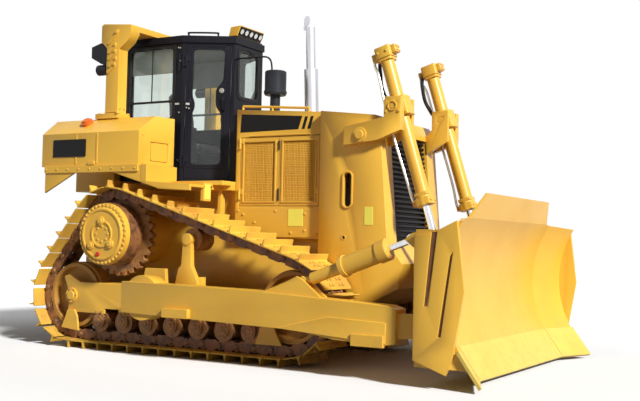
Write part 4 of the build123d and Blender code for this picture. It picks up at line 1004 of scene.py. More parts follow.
@dataclass
class TrackLoops:
    """Both tracks: shoes with grousers and bolts on a chain of links, pins and bushings."""

    pitch: float = 0.216
    grouser: float = 0.072
    thickness: float = 0.014
    pin_to_shoe: float = 0.058
    half_width: float = 0.28
    middle: float = 0.99
    idler_radius: float = 0.44
    idler_places: tuple[float, float] = (-2.295, 0.64)
    sprocket: Flat = (-1.715, 1.29)
    teeth: int = 27
    rail_middle: float = 0.095
    rail_half: float = 0.021
    rail_depth: float = 0.06
    bolt_shares: tuple[float, float] = (0.24, 0.56)
    bolt_apart: float = 0.03
    bolt_height: float = 0.016
    bolt_radius: float = 0.017
    eyes: tuple[Flat, ...] = ((0.015, 0.05), (0.03, 0.03))
    pin: Flat = (0.135, 0.023)
    bushing: Flat = (0.072, 0.034)

    def pins(self) -> list[Vector]:
        """Work out where the pins lie round the idlers and the sprocket.

        Returns:
            Pins as (x, z), one for each link, from the rear idler down and forwards.
        """
        idler_z = self.grouser + self.thickness + self.pin_to_shoe + self.idler_radius
        sprocket_radius = self.pitch / (2 * math.sin(2 * math.pi / self.teeth))
        wheels = [(Vector((self.idler_places[0], idler_z)), self.idler_radius),
                  (Vector((self.idler_places[1], idler_z)), self.idler_radius),
                  (Vector(self.sprocket), sprocket_radius)]
        angles = []
        for (spot, radius), (after, next_radius) in zip(wheels, wheels[1:] + wheels[:1]):
            run = after - spot
            angles.append(math.atan2(run.y, run.x) - math.acos((radius - next_radius) / run.length))
        spans = []
        for index, (spot, radius) in enumerate(wheels):
            into = angles[index - 1]
            turn = (angles[index] - into) % (2 * math.pi)
            spans.append((radius * turn, spot, radius, into))
            leave = spot + heading(angles[index]) * radius
            after, next_radius = wheels[(index + 1) % 3]
            reach = after + heading(angles[index]) * next_radius
            spans.append(((reach - leave).length, leave, 0.0, (reach - leave).normalized()))
        whole = sum(span[0] for span in spans)
        count = round(whole / self.pitch)
        points = []
        for step in range(count):
            left = whole * step / count
            for length, spot, radius, way in spans:
                if left <= length:
                    break
                left -= length
            if radius:
                points.append(spot + heading(way + left / radius) * radius)
            else:
                points.append(spot + way * left)
        return points

    def shoe(self, pitch: float) -> Shape:
        """Make one shoe with its grouser and bolt heads, from its first pin along +X."""
        low = self.pin_to_shoe
        high = low + self.thickness
        tip = high + self.grouser
        outline = [(0.02, low), (0.02, high - 0.006), (0.1, high), (0.74, high), (0.8, high + 0.01), (0.835, tip),
                   (0.885, tip), (0.905, high + 0.008), (0.965, high - 0.002), (0.99, low + 0.002), (0.97, low - 0.002),
                   (0.9, low)]
        shape = Shape().plate(right_wall(0.0), [(share * pitch, height) for share, height in outline],
                              -self.half_width, self.half_width)
        for share in self.bolt_shares:
            for middle in (-self.rail_middle, self.rail_middle):
                for y in (middle - self.bolt_apart, middle + self.bolt_apart):
                    shape.rod((share * pitch, y, high), (share * pitch, y, high + self.bolt_height), self.bolt_radius,
                              sides=6)
        return shape

    def link(self, pitch: float) -> Shape:
        """Make one pair of link rails with its pin and bushing, from its first pin along +X."""
        outline = [(0.12, -0.04), (0.22, -self.rail_depth), (0.8, -self.rail_depth), (0.9, -0.04), (0.9, 0.025),
                   (0.76, 0.042), (0.72, self.pin_to_shoe), (0.3, self.pin_to_shoe), (0.26, 0.042), (0.12, 0.025)]
        shape = Shape()
        for middle in (-self.rail_middle, self.rail_middle):
            shape.plate(right_wall(0.0), [(share * pitch, height) for share, height in outline],
                        middle - self.rail_half, middle + self.rail_half)
            for (half, radius), sides in zip(self.eyes, (14, 12)):
                shape.rod((0.0, middle - half, 0.0), (0.0, middle + half, 0.0), radius, sides=sides)
        for half, radius in (self.pin, self.bushing):
            shape.rod((0.0, -half, 0.0), (0.0, half, 0.0), radius, sides=12)
        return shape

    def build(self, shop: Workshop) -> None:
        """Lay both tracks."""
        pins = self.pins()
        for side in Side:
            places = []
            for start, end in zip(pins, pins[1:] + pins[:1]):
                along = (end - start).normalized()
                y = side.value * self.middle
                places.append(((start.x, y, start.y), (along.y, 0.0, -along.x), (along.x, 0.0, along.y)))
            pitch = (pins[1] - pins[0]).length
            word = side.word
            shop.repeat("track_shoes_" + word, self.shoe(pitch), places, "shoe_paint", replaces=("track_" + word,))
            shop.repeat("track_chain_" + word, self.link(pitch), places, "track_steel")


@dataclass
class RunningGear:
    """Rims, dark drum bands, plugs, guards, caps with painted tab shade and bolts of the final drives and the roller
    frames.
    """

    cover_face: float = 1.33
    flange_face: float = 1.318
    drive: Flat = TrackLoops.sprocket
    frame_face: float = 1.155
    roller_places: tuple[float, ...] = tuple(-1.875 + 0.34 * i for i in range(7))
    roller_height: float = 0.309
    idler_places: tuple[float, float] = TrackLoops.idler_places
    idler_height: float = 0.584
    ports: tuple[Flat, ...] = ((-1.731, 1.433), (-1.59, 1.181), (-1.868, 1.164))
    plug: Flat = (-1.76, 1.067)
    rings: tuple[Point, ...] = ((0.285, 0.262, 0.01), (0.15, 0.13, 0.012))

    def build(self, shop: Workshop) -> None:
        """Fit both sides."""
        self.build_covers(shop)
        self.build_frames(shop)

    def build_covers(self, shop: Workshop) -> None:
        """Add the final drive covers' bolts, raised rings, ports and plugs."""
        wall = right_wall(self.cover_face)
        shape = Shape()
        for outer, inner, height in self.rings:
            shape.border(wall, circle_of(self.drive, outer, 56), circle_of(self.drive, inner, 56), -0.004, height)
        for spot in self.ports:
            shape.disc(wall, spot, 0.05, -0.004, 0.018)
            shape.disc(wall, spot, 0.03, 0.0, 0.03, 16)
        shop.shape("final_drive_rims", shape.flip_copy(), "yellow_paint", bevel=0.003)
        # a dark steel band round the drum between the cover's flange and the sprocket
        band = [(1.06, 0.29), (1.06, 0.352), (1.255, 0.352), (1.255, 0.33)]
        seals = Shape().ring((self.drive[0], 0.0, self.drive[1]), RIGHTWARDS, band, 64).flip_copy()
        shop.shape("final_drive_seals", seals, "track_steel")
        red = Shape().disc(wall, self.plug, 0.024, -0.004, 0.02, 16).flip_copy()
        shop.shape("final_drive_plugs", red, "signal_red")
        spots = circle_of(self.drive, 0.32, 36)
        shop.bolt("final_drive_bolts", right_wall(self.flange_face).heads(spots), 0.013, both_sides=True)
        hub = circle_of(self.drive, 0.085, 8)
        shop.bolt("final_drive_hub_bolts", wall.heads(hub), 0.011, both_sides=True)

    def build_frames(self, shop: Workshop) -> None:
        """Add guards, cover plates, idler caps, roller caps on brown plates that paint the push arms' shade over the
        frame's tabs, and their bolts.
        """
        wall = right_wall(self.frame_face)
        guards = Shape()
        rear_tab = [(-2.43, 0.212), (-2.166, 0.187), (-2.196, 0.36), (-2.24, 0.42), (-2.34, 0.42), (-2.377, 0.325)]
        front_tab = [(0.251, 0.2), (0.573, 0.2), (0.49, 0.34), (0.46, 0.46), (0.32, 0.46), (0.3, 0.34)]
        for outline in (rear_tab, front_tab):
            guards.plate(wall, outline, -0.004, 0.022)
        guards.plate(wall, rounded(-0.92, 0.1, 0.5, 0.69, 0.03), -0.003, 0.01)
        guards.plate(wall, [(-1.25, 0.74), (-0.91, 0.74), (-0.93, 0.93), (-1.2, 0.93)], -0.02, 0.03)
        for x in self.idler_places:
            guards.disc(wall, (x, self.idler_height), 0.085, -0.004, 0.02, 32)
            guards.disc(wall, (x, self.idler_height), 0.05, 0.0, 0.034, 24)
        # the brown plates over the frame's yellow roller tabs are painted shade of the push arms; the round roller caps
        # on them are bare steel
        caps = Shape()
        for x in self.roller_places:
            caps.plate(wall, rounded(x - 0.075, x + 0.075, 0.245, 0.4, 0.06, 4), -0.01, 0.006)
            caps.disc(wall, (x, self.roller_height + 0.01), 0.058, 0.0, 0.022, 28)
            caps.disc(wall, (x, self.roller_height + 0.01), 0.026, 0.0, 0.034, 16)
        shop.shape("roller_end_caps", caps.flip_copy(), "roller_steel", bevel=0.003)
        shop.shape("roller_frame_guards", guards.flip_copy(), "yellow_paint", bevel=0.003)
        spots = [(x + dx, 0.405) for x in self.roller_places for dx in (-0.035, 0.035)]
        spots += line_of((-0.88, 0.53), (0.06, 0.53), 6) + line_of((-0.88, 0.66), (0.06, 0.66), 6)
        spots += [(-2.33, 0.36), (-2.24, 0.36), (0.35, 0.4), (0.43, 0.4)]
        for x in self.idler_places:
            spots += circle_of((x, self.idler_height), 0.068, 6)
        shop.bolt("roller_frame_bolts", wall.heads(spots, 0.014), 0.012, "roller_steel", both_sides=True)


@dataclass
class EngineDoors:
    """Four engine doors: raised frames round perforated sheets, with hinge knuckles."""

    face: float = 0.6
    low: float = 1.636
    high: float = 2.384
    rear: float = -0.379
    split: float = 0.125
    front: float = 0.629
    gap: float = 0.003
    rim: float = 0.05
    wall: float = 0.04
    cell: float = 0.019
    hole: float = 0.0052
    sheet_depth: float = 0.004
    hinge_heights: tuple[float, float] = (1.76, 2.32)
    knuckle: float = 0.012
    knuckle_height: float = 0.06
    leaf: float = 0.045
    bead: float = 0.018

    def inset(self, left: float, right: float, distance: float) -> list[Flat]:
        """Give a door's rectangle drawn in all round."""
        return rectangle(left + distance, right - distance, self.low + distance, self.high - distance)

    def perforation(self) -> Shape:
        """Make one square of the sheet with a round hole in it."""
        half = self.cell / 2
        corner = [(half, 0.0), (half, half), (0.0, half), (-half, half), (-half, 0.0), (-half, -half), (0.0, -half),
                  (half, -half)]
        return Shape().border(level(0.0), corner, circle_of((0.0, 0.0), self.hole, 8), -0.003, 0.0)

    def build(self, shop: Workshop) -> None:
        """Make the doors of both sides."""
        for side in Side:
            for end, left, right in (("rear", self.rear, self.split - self.gap),
                                     ("front", self.split + self.gap, self.front)):
                self.build_door(shop, side, end, left, right)

    def build_door(self, shop: Workshop, side: Side, end: str, left: float, right: float) -> None:
        """Make one door.

        Args:
            shop: Workshop that settles the pieces.
            side: Side of the machine.
            end: Whether it is the rear or the front door.
            left: Its rear edge.
            right: Its front edge.
        """
        body = f"engine_door_{end}_{side.word}"
        wall = right_wall(self.face)
        inner = self.inset(left, right, self.rim)
        frame = Shape().border(wall, self.inset(left, right, 0.0), inner, -self.wall, 0.0)
        frame.border(wall, self.inset(left, right, self.rim - self.bead), inner, -0.002, 0.009)
        hinge = left - self.gap if end == "rear" else right + self.gap
        turn = 1 if end == "rear" else -1
        for height in self.hinge_heights:
            frame.disc(Wall((hinge, -self.face - self.knuckle, height), FORWARDS, LEFTWARDS),
                       (0.0, 0.0), self.knuckle, 0.001, self.knuckle_height, 16)
            leaf = rectangle(*sorted((hinge, hinge + turn * self.leaf)), height + 0.001, height + self.knuckle_height)
            frame.plate(wall, leaf, -0.001, self.knuckle)
        places = []
        columns = int((inner[1][0] - inner[0][0]) / self.cell)
        rows = int((inner[2][1] - inner[0][1]) / self.cell)
        start_u = (inner[0][0] + inner[1][0] - (columns - 1) * self.cell) / 2
        start_v = (inner[0][1] + inner[2][1] - (rows - 1) * self.cell) / 2
        out = float(side.value)
        for column in range(columns):
            for row in range(rows):
                x, _, z = wall.at(start_u + column * self.cell, start_v + row * self.cell)
                places.append(((x, out * (self.face - self.sheet_depth), z), (0.0, out, 0.0), FORWARDS))
        edge_u = start_u - self.cell / 2
        edge_v = start_v - self.cell / 2
        sheet_rim = rectangle(edge_u, edge_u + columns * self.cell, edge_v, edge_v + rows * self.cell)
        frame.border(wall, inner, sheet_rim, -0.008, -self.sheet_depth)
        shop.shape(body + "_frame", placed(frame, side), "yellow_paint", body=body, replaces=(body,), bevel=0.002)
        shop.repeat(body + "_sheet", self.perforation(), places, "screen_amber", body=body)


@dataclass
class HoodDetails:
    """Stripes, blank plates, lower panels, latches and bolts of the hood and the radiator guard."""

    face: float = EngineDoors.face
    guard_face: float = 0.68
    stripe: tuple[Flat, ...] = ((-0.38, 2.65), (0.407, 2.598), (0.358, 2.457), (-0.392, 2.447))
    slash: tuple[Flat, ...] = ((0.442, 2.592), (0.477, 2.59), (0.437, 2.457), (0.402, 2.458))
    slash_step: float = 0.071
    slot: tuple[float, ...] = (0.973, 1.063, 1.6195, 1.9745)
    hole: Flat = (0.982, 1.305)

    def build(self, shop: Workshop) -> None:
        """Fit both sides."""
        wall = right_wall(self.face)
        guard = right_wall(self.guard_face)
        decal = Shape().plate(wall, list(self.stripe), -0.001, 0.0015)
        for step in range(2):
            decal.plate(wall, [(u + step * self.slash_step, v) for u, v in self.slash], -0.001, 0.0015)
        shop.shape("hood_stripes", decal.flip_copy(), "decal_black")
        plates = Shape().plate(wall, rectangle(0.261, 0.448, 1.415, 1.599), 0.008, 0.0125)
        plates.plate(guard, rectangle(1.218, 1.314, 1.434, 1.62), -0.001, 0.003)
        shop.shape("side_plates_blank", plates.flip_copy(), "decal_pale")
        panel = Shape().plate(wall, rounded(-0.43, 0.665, 1.295, 1.612, 0.02, 3), -0.002, 0.01)
        panel.plate(wall, rectangle(-0.255, 0.517, 2.396, 2.41), -0.001, 0.012)
        rim = 0.018
        panel.border(guard, rounded(self.slot[0] - rim, self.slot[1] + rim, self.slot[2] - rim, self.slot[3] + rim,
                                    0.062, 8), rounded(*self.slot, 0.0445, 8), -0.004, 0.014)
        panel.border(guard, circle_of(self.hole, 0.026, 20), circle_of(self.hole, 0.016, 20), -0.002, 0.006)
        shop.shape("hood_panels", panel.flip_copy(), "yellow_paint", bevel=0.003)
        dark = Shape().disc(guard, self.hole, 0.016, -0.001, 0.0015, 16)
        for low, high in ((2.24, 2.34), (1.69, 1.82)):
            dark.plate(wall, rectangle(0.118, 0.132, low, high), 0.0, 0.014)
        shop.shape("door_latches", dark.flip_copy(), "dark_plastic", bevel=0.002)
        spots = [(-0.323, 1.539), (-0.172, 1.452), (0.297, 1.344), (-0.39, 1.33), (0.62, 1.33), (-0.39, 1.58),
                 (0.62, 1.58), (0.1, 1.58), (0.1, 1.33), (0.47, 1.37), (0.47, 1.55)]
        shop.bolt("hood_bolts", wall.heads(spots, 0.01), 0.012, both_sides=True)


@dataclass
class CabDetails:
    """Window seals, door trim, wiper, roof rails, lamps, brackets, lining and controls of the cab."""

    half_width: float = 0.59
    corner: float = -1.237
    front: float = -0.707
    front_half: float = 0.285
    rear: float = -2.13
    roof: float = 3.61
    ceiling: float = 3.528
    door_glass: tuple[Flat, ...] = (
        (0.114, 2.107), (0.4755, 2.107), (0.4755, 2.706), (0.4075, 2.796), (0.4075, 2.996), (0.4895, 3.076),
        (0.5035, 3.463), (0.12, 3.463), (0.114, 2.9), (0.142, 2.84), (0.142, 2.77), (0.114, 2.71),
    )
    side_glass: tuple[float, ...] = (-2.02, -1.361, 2.645, 3.487)
    rear_glass: tuple[float, ...] = (-0.43, 0.43, 2.69, 3.487)
    screen_glass: tuple[float, ...] = (-0.205, 0.205, 2.92, 3.46)
    lamp_foot: Flat = (-0.72, 3.628)
    lamp_head: Flat = (-0.666, 3.75)
    lamp_back: tuple[Flat, ...] = ((-0.81, 3.74), (-0.838, 3.628))
    lamp_half: float = 0.25

    def door_wall(self) -> Wall:
        """Give the right door's face, from its rear edge forwards."""
        run = Vector((self.front - self.corner, self.half_width - self.front_half, 0.0)).normalized()
        return Wall((self.corner, -self.half_width, 0.0), tuple(run))

    def seal(self, shape: Shape, wall: Wall, glass: list[Flat], corner: float = 0.06) -> None:
        """Add a rubber seal and a pressed bead round a pane.

        Args:
            shape: Shape that it is added to.
            wall: Face that the pane lies in.
            glass: Corners of the pane.
            corner: How far from a corner its rounding starts.
        """
        shape.border(wall, eased(grown(glass, 0.016), corner), eased(grown(glass, -0.012), corner), -0.02, 0.005)
        shape.border(wall, eased(grown(glass, 0.032), corner), eased(grown(glass, 0.022), corner), -0.002, 0.008)

    def build(self, shop: Workshop) -> None:
        """Fit the whole cab."""
        side = right_wall(self.half_width)
        seals = Shape()
        self.seal(seals, side, rectangle(*self.side_glass))
        seals.plate(side, rectangle(self.side_glass[0], self.side_glass[1], 2.84, 2.866), -0.014, -0.002)
        seals.plate(side, rectangle(-1.694, -1.682, 2.866, 3.48), -0.017, -0.006)
        seals.flip_copy()
        self.seal(seals, front_wall(self.front), rectangle(*self.screen_glass))
        self.seal(seals, rear_wall(self.rear), rectangle(*self.rear_glass))
        shop.shape("cab_seals", seals, "hose_rubber", bevel=0.003)
        for which in Side:
            self.build_door(shop, which)
        self.build_roof(shop)
        self.build_lamps(shop)
        self.build_lining(shop)
        self.build_brackets(shop)
        self.build_controls(shop)

    def build_door(self, shop: Workshop, which: Side) -> None:
        """Trim one door.

        Args:
            shop: Workshop that settles the pieces.
            which: Side of the machine.
        """
        door = self.door_wall()
        side = right_wall(self.half_width)
        word = which.word
        trim = Shape()
        self.seal(trim, door, list(self.door_glass), 0.05)
        trim.plate(door, rounded(0.424, 0.506, 2.86, 3.035, 0.03), -0.002, 0.014)
        trim.plate(door, rounded(0.045, 0.106, 2.742, 2.868, 0.02), -0.001, 0.012)
        trim.tube([door.at(0.476, 2.885, 0.01), door.at(0.478, 2.87, 0.04), door.at(0.484, 2.81, 0.042),
                   door.at(0.487, 2.75, 0.03), door.at(0.487, 2.735, 0.0)], 0.01)
        shop.shape("cab_door_trim_" + word, placed(trim, which), "black_paint", body="cab_door_" + word, bevel=0.002)
        lock = (0.465, 2.975)
        bright = Shape().border(door, circle_of(lock, 0.027, 24), circle_of(lock, 0.018, 24), 0.01, 0.026)
        bright.disc(door, lock, 0.011, 0.01, 0.022, 16)
        bright.plate(door, rounded(0.052, 0.098, 2.8, 2.826, 0.008, 3), 0.01, 0.02)
        for spot in ((0.062, 2.77), (0.09, 2.762)):
            bright.disc(door, spot, 0.008, 0.01, 0.02, 12)
        shop.shape("cab_door_lock_" + word, placed(bright, which), "zinc", body="cab_door_" + word, bevel=0.002)
        post = Shape().plate(side, rounded(-1.322, -1.262, 2.806, 2.826, 0.006, 3), -0.001, 0.012)
        for spot in ((-1.292, 3.474), (-1.266, 3.468), (-1.262, 2.716), (-1.268, 2.16), (-1.268, 3.32)):
            post.disc(side, spot, 0.009, -0.001, 0.01, 12)
        shop.shape("cab_post_screws_" + word, placed(post, which), "zinc")
        grip = Shape().tube([(-1.262, -0.586, 3.2), (-1.262, -0.612, 3.206), (-1.262, -0.616, 3.24),
                             (-1.262, -0.616, 3.35), (-1.262, -0.612, 3.384), (-1.262, -0.586, 3.39)], 0.007)
        shop.shape("cab_post_grip_" + word, placed(grip, which), "black_paint")

    def build_roof(self, shop: Workshop) -> None:
        """Add the roof rails, the wiper and the pipe to the pre-cleaner."""
        top = self.roof
        rail = Shape().tube([(-1.186, -0.548, top - 0.004), (-1.186, -0.55, top + 0.024), (-1.17, -0.544, top + 0.036),
                             (-0.9, -0.404, top + 0.036), (-0.884, -0.392, top + 0.024),
                             (-0.884, -0.388, top - 0.004)], 0.011)
        shop.shape("cab_rails", rail.flip_copy(), "black_paint")
        glass = front_wall(self.front)
        wiper = Shape().tube([glass.at(0.02, 3.478, 0.0), glass.at(0.03, 3.474, 0.02), glass.at(0.11, 3.42, 0.026),
                              glass.at(0.155, 3.3, 0.022), glass.at(0.166, 3.2, 0.016)], 0.007)
        wiper.plate(glass, [(0.15, 3.02), (0.158, 3.02), (0.172, 3.38), (0.162, 3.385)], -0.004, 0.014)
        wiper.disc(glass, (0.02, 3.478), 0.02, -0.002, 0.016, 16)
        shop.shape("windscreen_wiper", wiper, "dark_plastic")
        pipe = Shape().tube([(-0.704, -0.27, 3.34), (-0.66, -0.3, 3.345), (-0.4, -0.38, 3.325), (-0.2, -0.42, 3.312),
                             (-0.135, -0.42, 3.27), (-0.115, -0.42, 3.2), (-0.112, -0.42, 3.13)], 0.01)
        shop.shape("precleaner_pipe", pipe, "black_paint")

    def build_lamps(self, shop: Workshop) -> None:
        """Make the lamp box on the roof's front edge, with its feet, rims and lenses."""
        side = right_wall(0.0)
        box = Shape().plate(side, [self.lamp_foot, self.lamp_head, *self.lamp_back], -self.lamp_half, self.lamp_half)
        shop.shape("roof_lamp_box", box, "yellow_paint", replaces=("roof_lamps",), bevel=0.008)
        feet = Shape()
        for y in (-0.2, 0.2):
            feet.box((-0.835, y - 0.025, self.roof - 0.002), (-0.735, y + 0.025, self.lamp_foot[1] + 0.004))
        feet.box((-0.722, -0.24, self.roof - 0.045), (-0.69, 0.24, self.roof + 0.012))
        rise = Vector((self.lamp_head[0] - self.lamp_foot[0], 0.0, self.lamp_head[1] - self.lamp_foot[1]))
        face = Wall((self.lamp_foot[0], 0.0, self.lamp_foot[1]), LEFTWARDS, tuple(rise.normalized()))
        high = rise.length
        feet.plate(face, rounded(-0.238, 0.238, 0.01, high - 0.012, 0.012), -0.002, 0.004)
        shop.shape("roof_lamp_feet", feet, "black_paint", bevel=0.003)
        lens = Shape()
        rims = Shape()
        for y in (-0.19, -0.095, 0.0, 0.095, 0.19):
            rims.border(face, circle_of((y, high / 2), 0.042, 24), circle_of((y, high / 2), 0.034, 24), 0.002, 0.014)
            lens.disc(face, (y, high / 2), 0.034, 0.001, 0.009, 24)
        shop.shape("roof_lamp_rims", rims, "dark_plastic", bevel=0.002)
        # the lenses take the pale lamp_lens colour, a painted highlight
        shop.shape("roof_lamp_lenses", lens, "lamp_lens", bevel=0.003)

    def build_lining(self, shop: Workshop) -> None:
        """Line the ceiling and the sides above the windows."""
        plan = [(-2.08, -0.535), (-1.25, -0.535), (-0.76, -0.255), (-0.76, 0.255), (-1.25, 0.535), (-2.08, 0.535)]
        liner = Shape().plate(level(0.0), plan, self.ceiling - 0.016, self.ceiling)
        inner = self.half_width - 0.05
        for y in (-inner, inner):
            liner.box((-2.06, y - 0.006, 3.19), (-1.33, y + 0.006, self.ceiling - 0.01))
        shop.shape("cab_headliner", liner, "liner_grey", bevel=0.004)

    def build_brackets(self, shop: Workshop) -> None:
        """Stand an arched bracket under each front corner, the right one with a blank plate."""
        ahead = front_wall(-0.575)
        arch = [(-1.0, 1.67), (-0.87, 1.67), (-0.87, 1.8), (-0.68, 1.8), (-0.68, 1.5), (-0.602, 1.5), (-0.602, 1.872),
                (-1.0, 1.872)]
        brackets = Shape().plate(ahead, arch, -0.045, 0.0).flip_copy()
        shop.shape("cab_front_brackets", brackets, "yellow_paint", bevel=0.003)
        signs = Shape().plate(ahead, rectangle(-0.985, -0.885, 1.69, 1.85), -0.001, 0.003)
        shop.shape("cab_front_plates", signs, "decal_pale")

    def build_controls(self, shop: Workshop) -> None:
        """Fit levers, armrests and a screen to the console."""
        levers = Shape()
        for y, lean in ((-0.345, 0.01), (0.345, -0.01)):
            levers.rod((-1.33, y, 2.562), (-1.33, y, 2.6), 0.05, 0.022)
            levers.tube([(-1.33, y, 2.59), (-1.325, y, 2.66), (-1.315, y + lean, 2.72)], 0.012)
            levers.rod((-1.318, y + lean, 2.7), (-1.306, y + lean, 2.8), 0.022, 0.03, 16)
            levers.plate(level(0.0), rounded(-1.59, -1.4, y - 0.055, y + 0.055, 0.03), 2.563, 2.59)
        screen = Wall((-0.87, 0.0, 2.86), RIGHTWARDS, (-0.25, 0.0, 0.97))
        levers.plate(screen, rounded(-0.09, 0.09, 0.0, 0.13, 0.015), -0.03, 0.012)
        shop.shape("cab_controls", levers, "dark_plastic", bevel=0.004)


@dataclass
class TankDetails:
    """Seams, cap, front plates, blank plates and bolts of the side tanks and fenders."""

    side: float = 1.25
    shoulder: float = 2.44
    top: float = 2.62
    low: float = 2.06
    front: float = -1.29
    front_inner: float = -1.22
    inner: float = 0.72

    def build(self, shop: Workshop) -> None:
        """Fit both sides."""
        wall = right_wall(self.side)
        trim = Shape()
        for x in (-2.215, -1.9):
            trim.plate(wall, rectangle(x - 0.012, x + 0.012, self.low + 0.02, self.shoulder - 0.01), -0.001, 0.005)
        trim.plate(wall, rectangle(-2.69, -1.29, 1.985, 2.064), -0.002, 0.014)
        trim.plate(wall, rounded(-2.02, -1.92, 2.07, 2.11, 0.01), -0.001, 0.02)
        run = Vector((self.front_inner - self.front, self.side - self.inner, 0.0)).normalized()
        face = Wall((self.front, -self.side, 0.0), tuple(run))
        trim.plate(face, rounded(0.186, 0.434, 2.116, 2.319, 0.02), -0.03, -0.005)
        trim.box((-1.25, -self.side - 0.003, 1.875), (-1.172, -self.inner, 2.064))
        shop.shape("tank_seams", trim.flip_copy(), "yellow_paint", bevel=0.002)
        plate = Shape().plate(wall, rounded(-2.567, -2.067, 2.167, 2.368, 0.008), -0.001, 0.008)
        shop.shape("tank_plates_bare", plate.flip_copy(), "decal_black")
        slope = Wall((0.0, -self.side, self.shoulder), FORWARDS,
                     tuple(Vector((0.0, 0.23, self.top - self.shoulder)).normalized()))
        cap = Shape().disc(slope, (-2.2, 0.2), 0.07, -0.01, 0.035, 32).disc(slope, (-2.2, 0.2), 0.045, 0.0, 0.055, 24)
        shop.shape("tank_caps", cap, "cap_orange", bevel=0.004)
        spots = line_of((-2.66, 2.024), (-1.33, 2.024), 9)
        heads = wall.heads(spots, 0.014) + face.heads([(0.06, 2.4), (0.5, 2.4), (0.06, 2.09), (0.5, 2.09)])
        shop.bolt("tank_bolts", heads, 0.01, both_sides=True)


@dataclass
class RollBarDetails:
    """Ribs and steps, base bolts and rear lamp lenses of the roll bar."""

    outer: float = 1.03
    rear: float = -2.0
    front: float = -1.81
    foot: float = 2.68
    step_places: tuple[Flat, ...] = ((-1.905, 3.43), (-1.905, 3.355), (-1.892, 3.27), (-1.905, 3.2))
    step_outline: tuple[Flat, ...] = ((-0.075, -0.055), (-0.045, -0.055), (0.045, 0.018), (0.05, 0.05),
                                      (0.02, 0.045), (-0.07, -0.025))
    top_rib: tuple[Flat, ...] = ((-1.985, 3.495), (-1.965, 3.48), (-1.835, 3.585), (-1.81, 3.64), (-1.84, 3.645),
                                 (-1.87, 3.6))
    lamp: tuple[float, ...] = (-2.175, 0.955, 3.205, 0.062)

    def build(self, shop: Workshop) -> None:
        """Fit both posts."""
        wall = right_wall(self.outer)
        ribs = Shape()
        for x, z in self.step_places:
            ribs.plate(wall, [(x + u, z + v) for u, v in self.step_outline], -0.004, 0.012)
            ribs.disc(wall, (x + 0.032, z + 0.045), 0.02, -0.002, 0.02, 14)
        ribs.plate(wall, list(self.top_rib), -0.004, 0.014)
        ribs.disc(wall, (-1.85, 3.62), 0.022, -0.002, 0.022, 14)
        ribs.border(wall, rectangle(self.rear + 0.006, self.front - 0.006, self.foot - 0.002, self.foot + 0.02),
                    rectangle(self.rear + 0.02, self.front - 0.02, self.foot + 0.002, self.foot + 0.012), -0.004, 0.012)
        shop.shape("roll_bar_ribs", ribs.flip_copy(), "yellow_paint", bevel=0.004)
        heads = level(self.foot).heads([(self.rear - 0.075, y) for y in (-0.865, -0.95, -1.025)])
        heads += level(self.foot).heads([(self.front + 0.012, y) for y in (-0.865, -1.042)])
        shop.bolt("roll_bar_bolts", heads, 0.017, both_sides=True)
        x, y, z, radius = self.lamp
        back = rear_wall(x)
        lens = Shape().disc(back, (y, z), radius - 0.01, -0.002, 0.01, 28)
        # the lens takes the pale lamp_lens colour, a painted highlight
        shop.shape("rear_lamp_lenses", lens.flip_copy(), "lamp_lens", bevel=0.003)
        bolts = front_wall(self.front).heads([(-0.92, 2.74), (-0.99, 2.74)])
        shop.bolt("roll_bar_face_bolts", bolts, 0.012, both_sides=True)


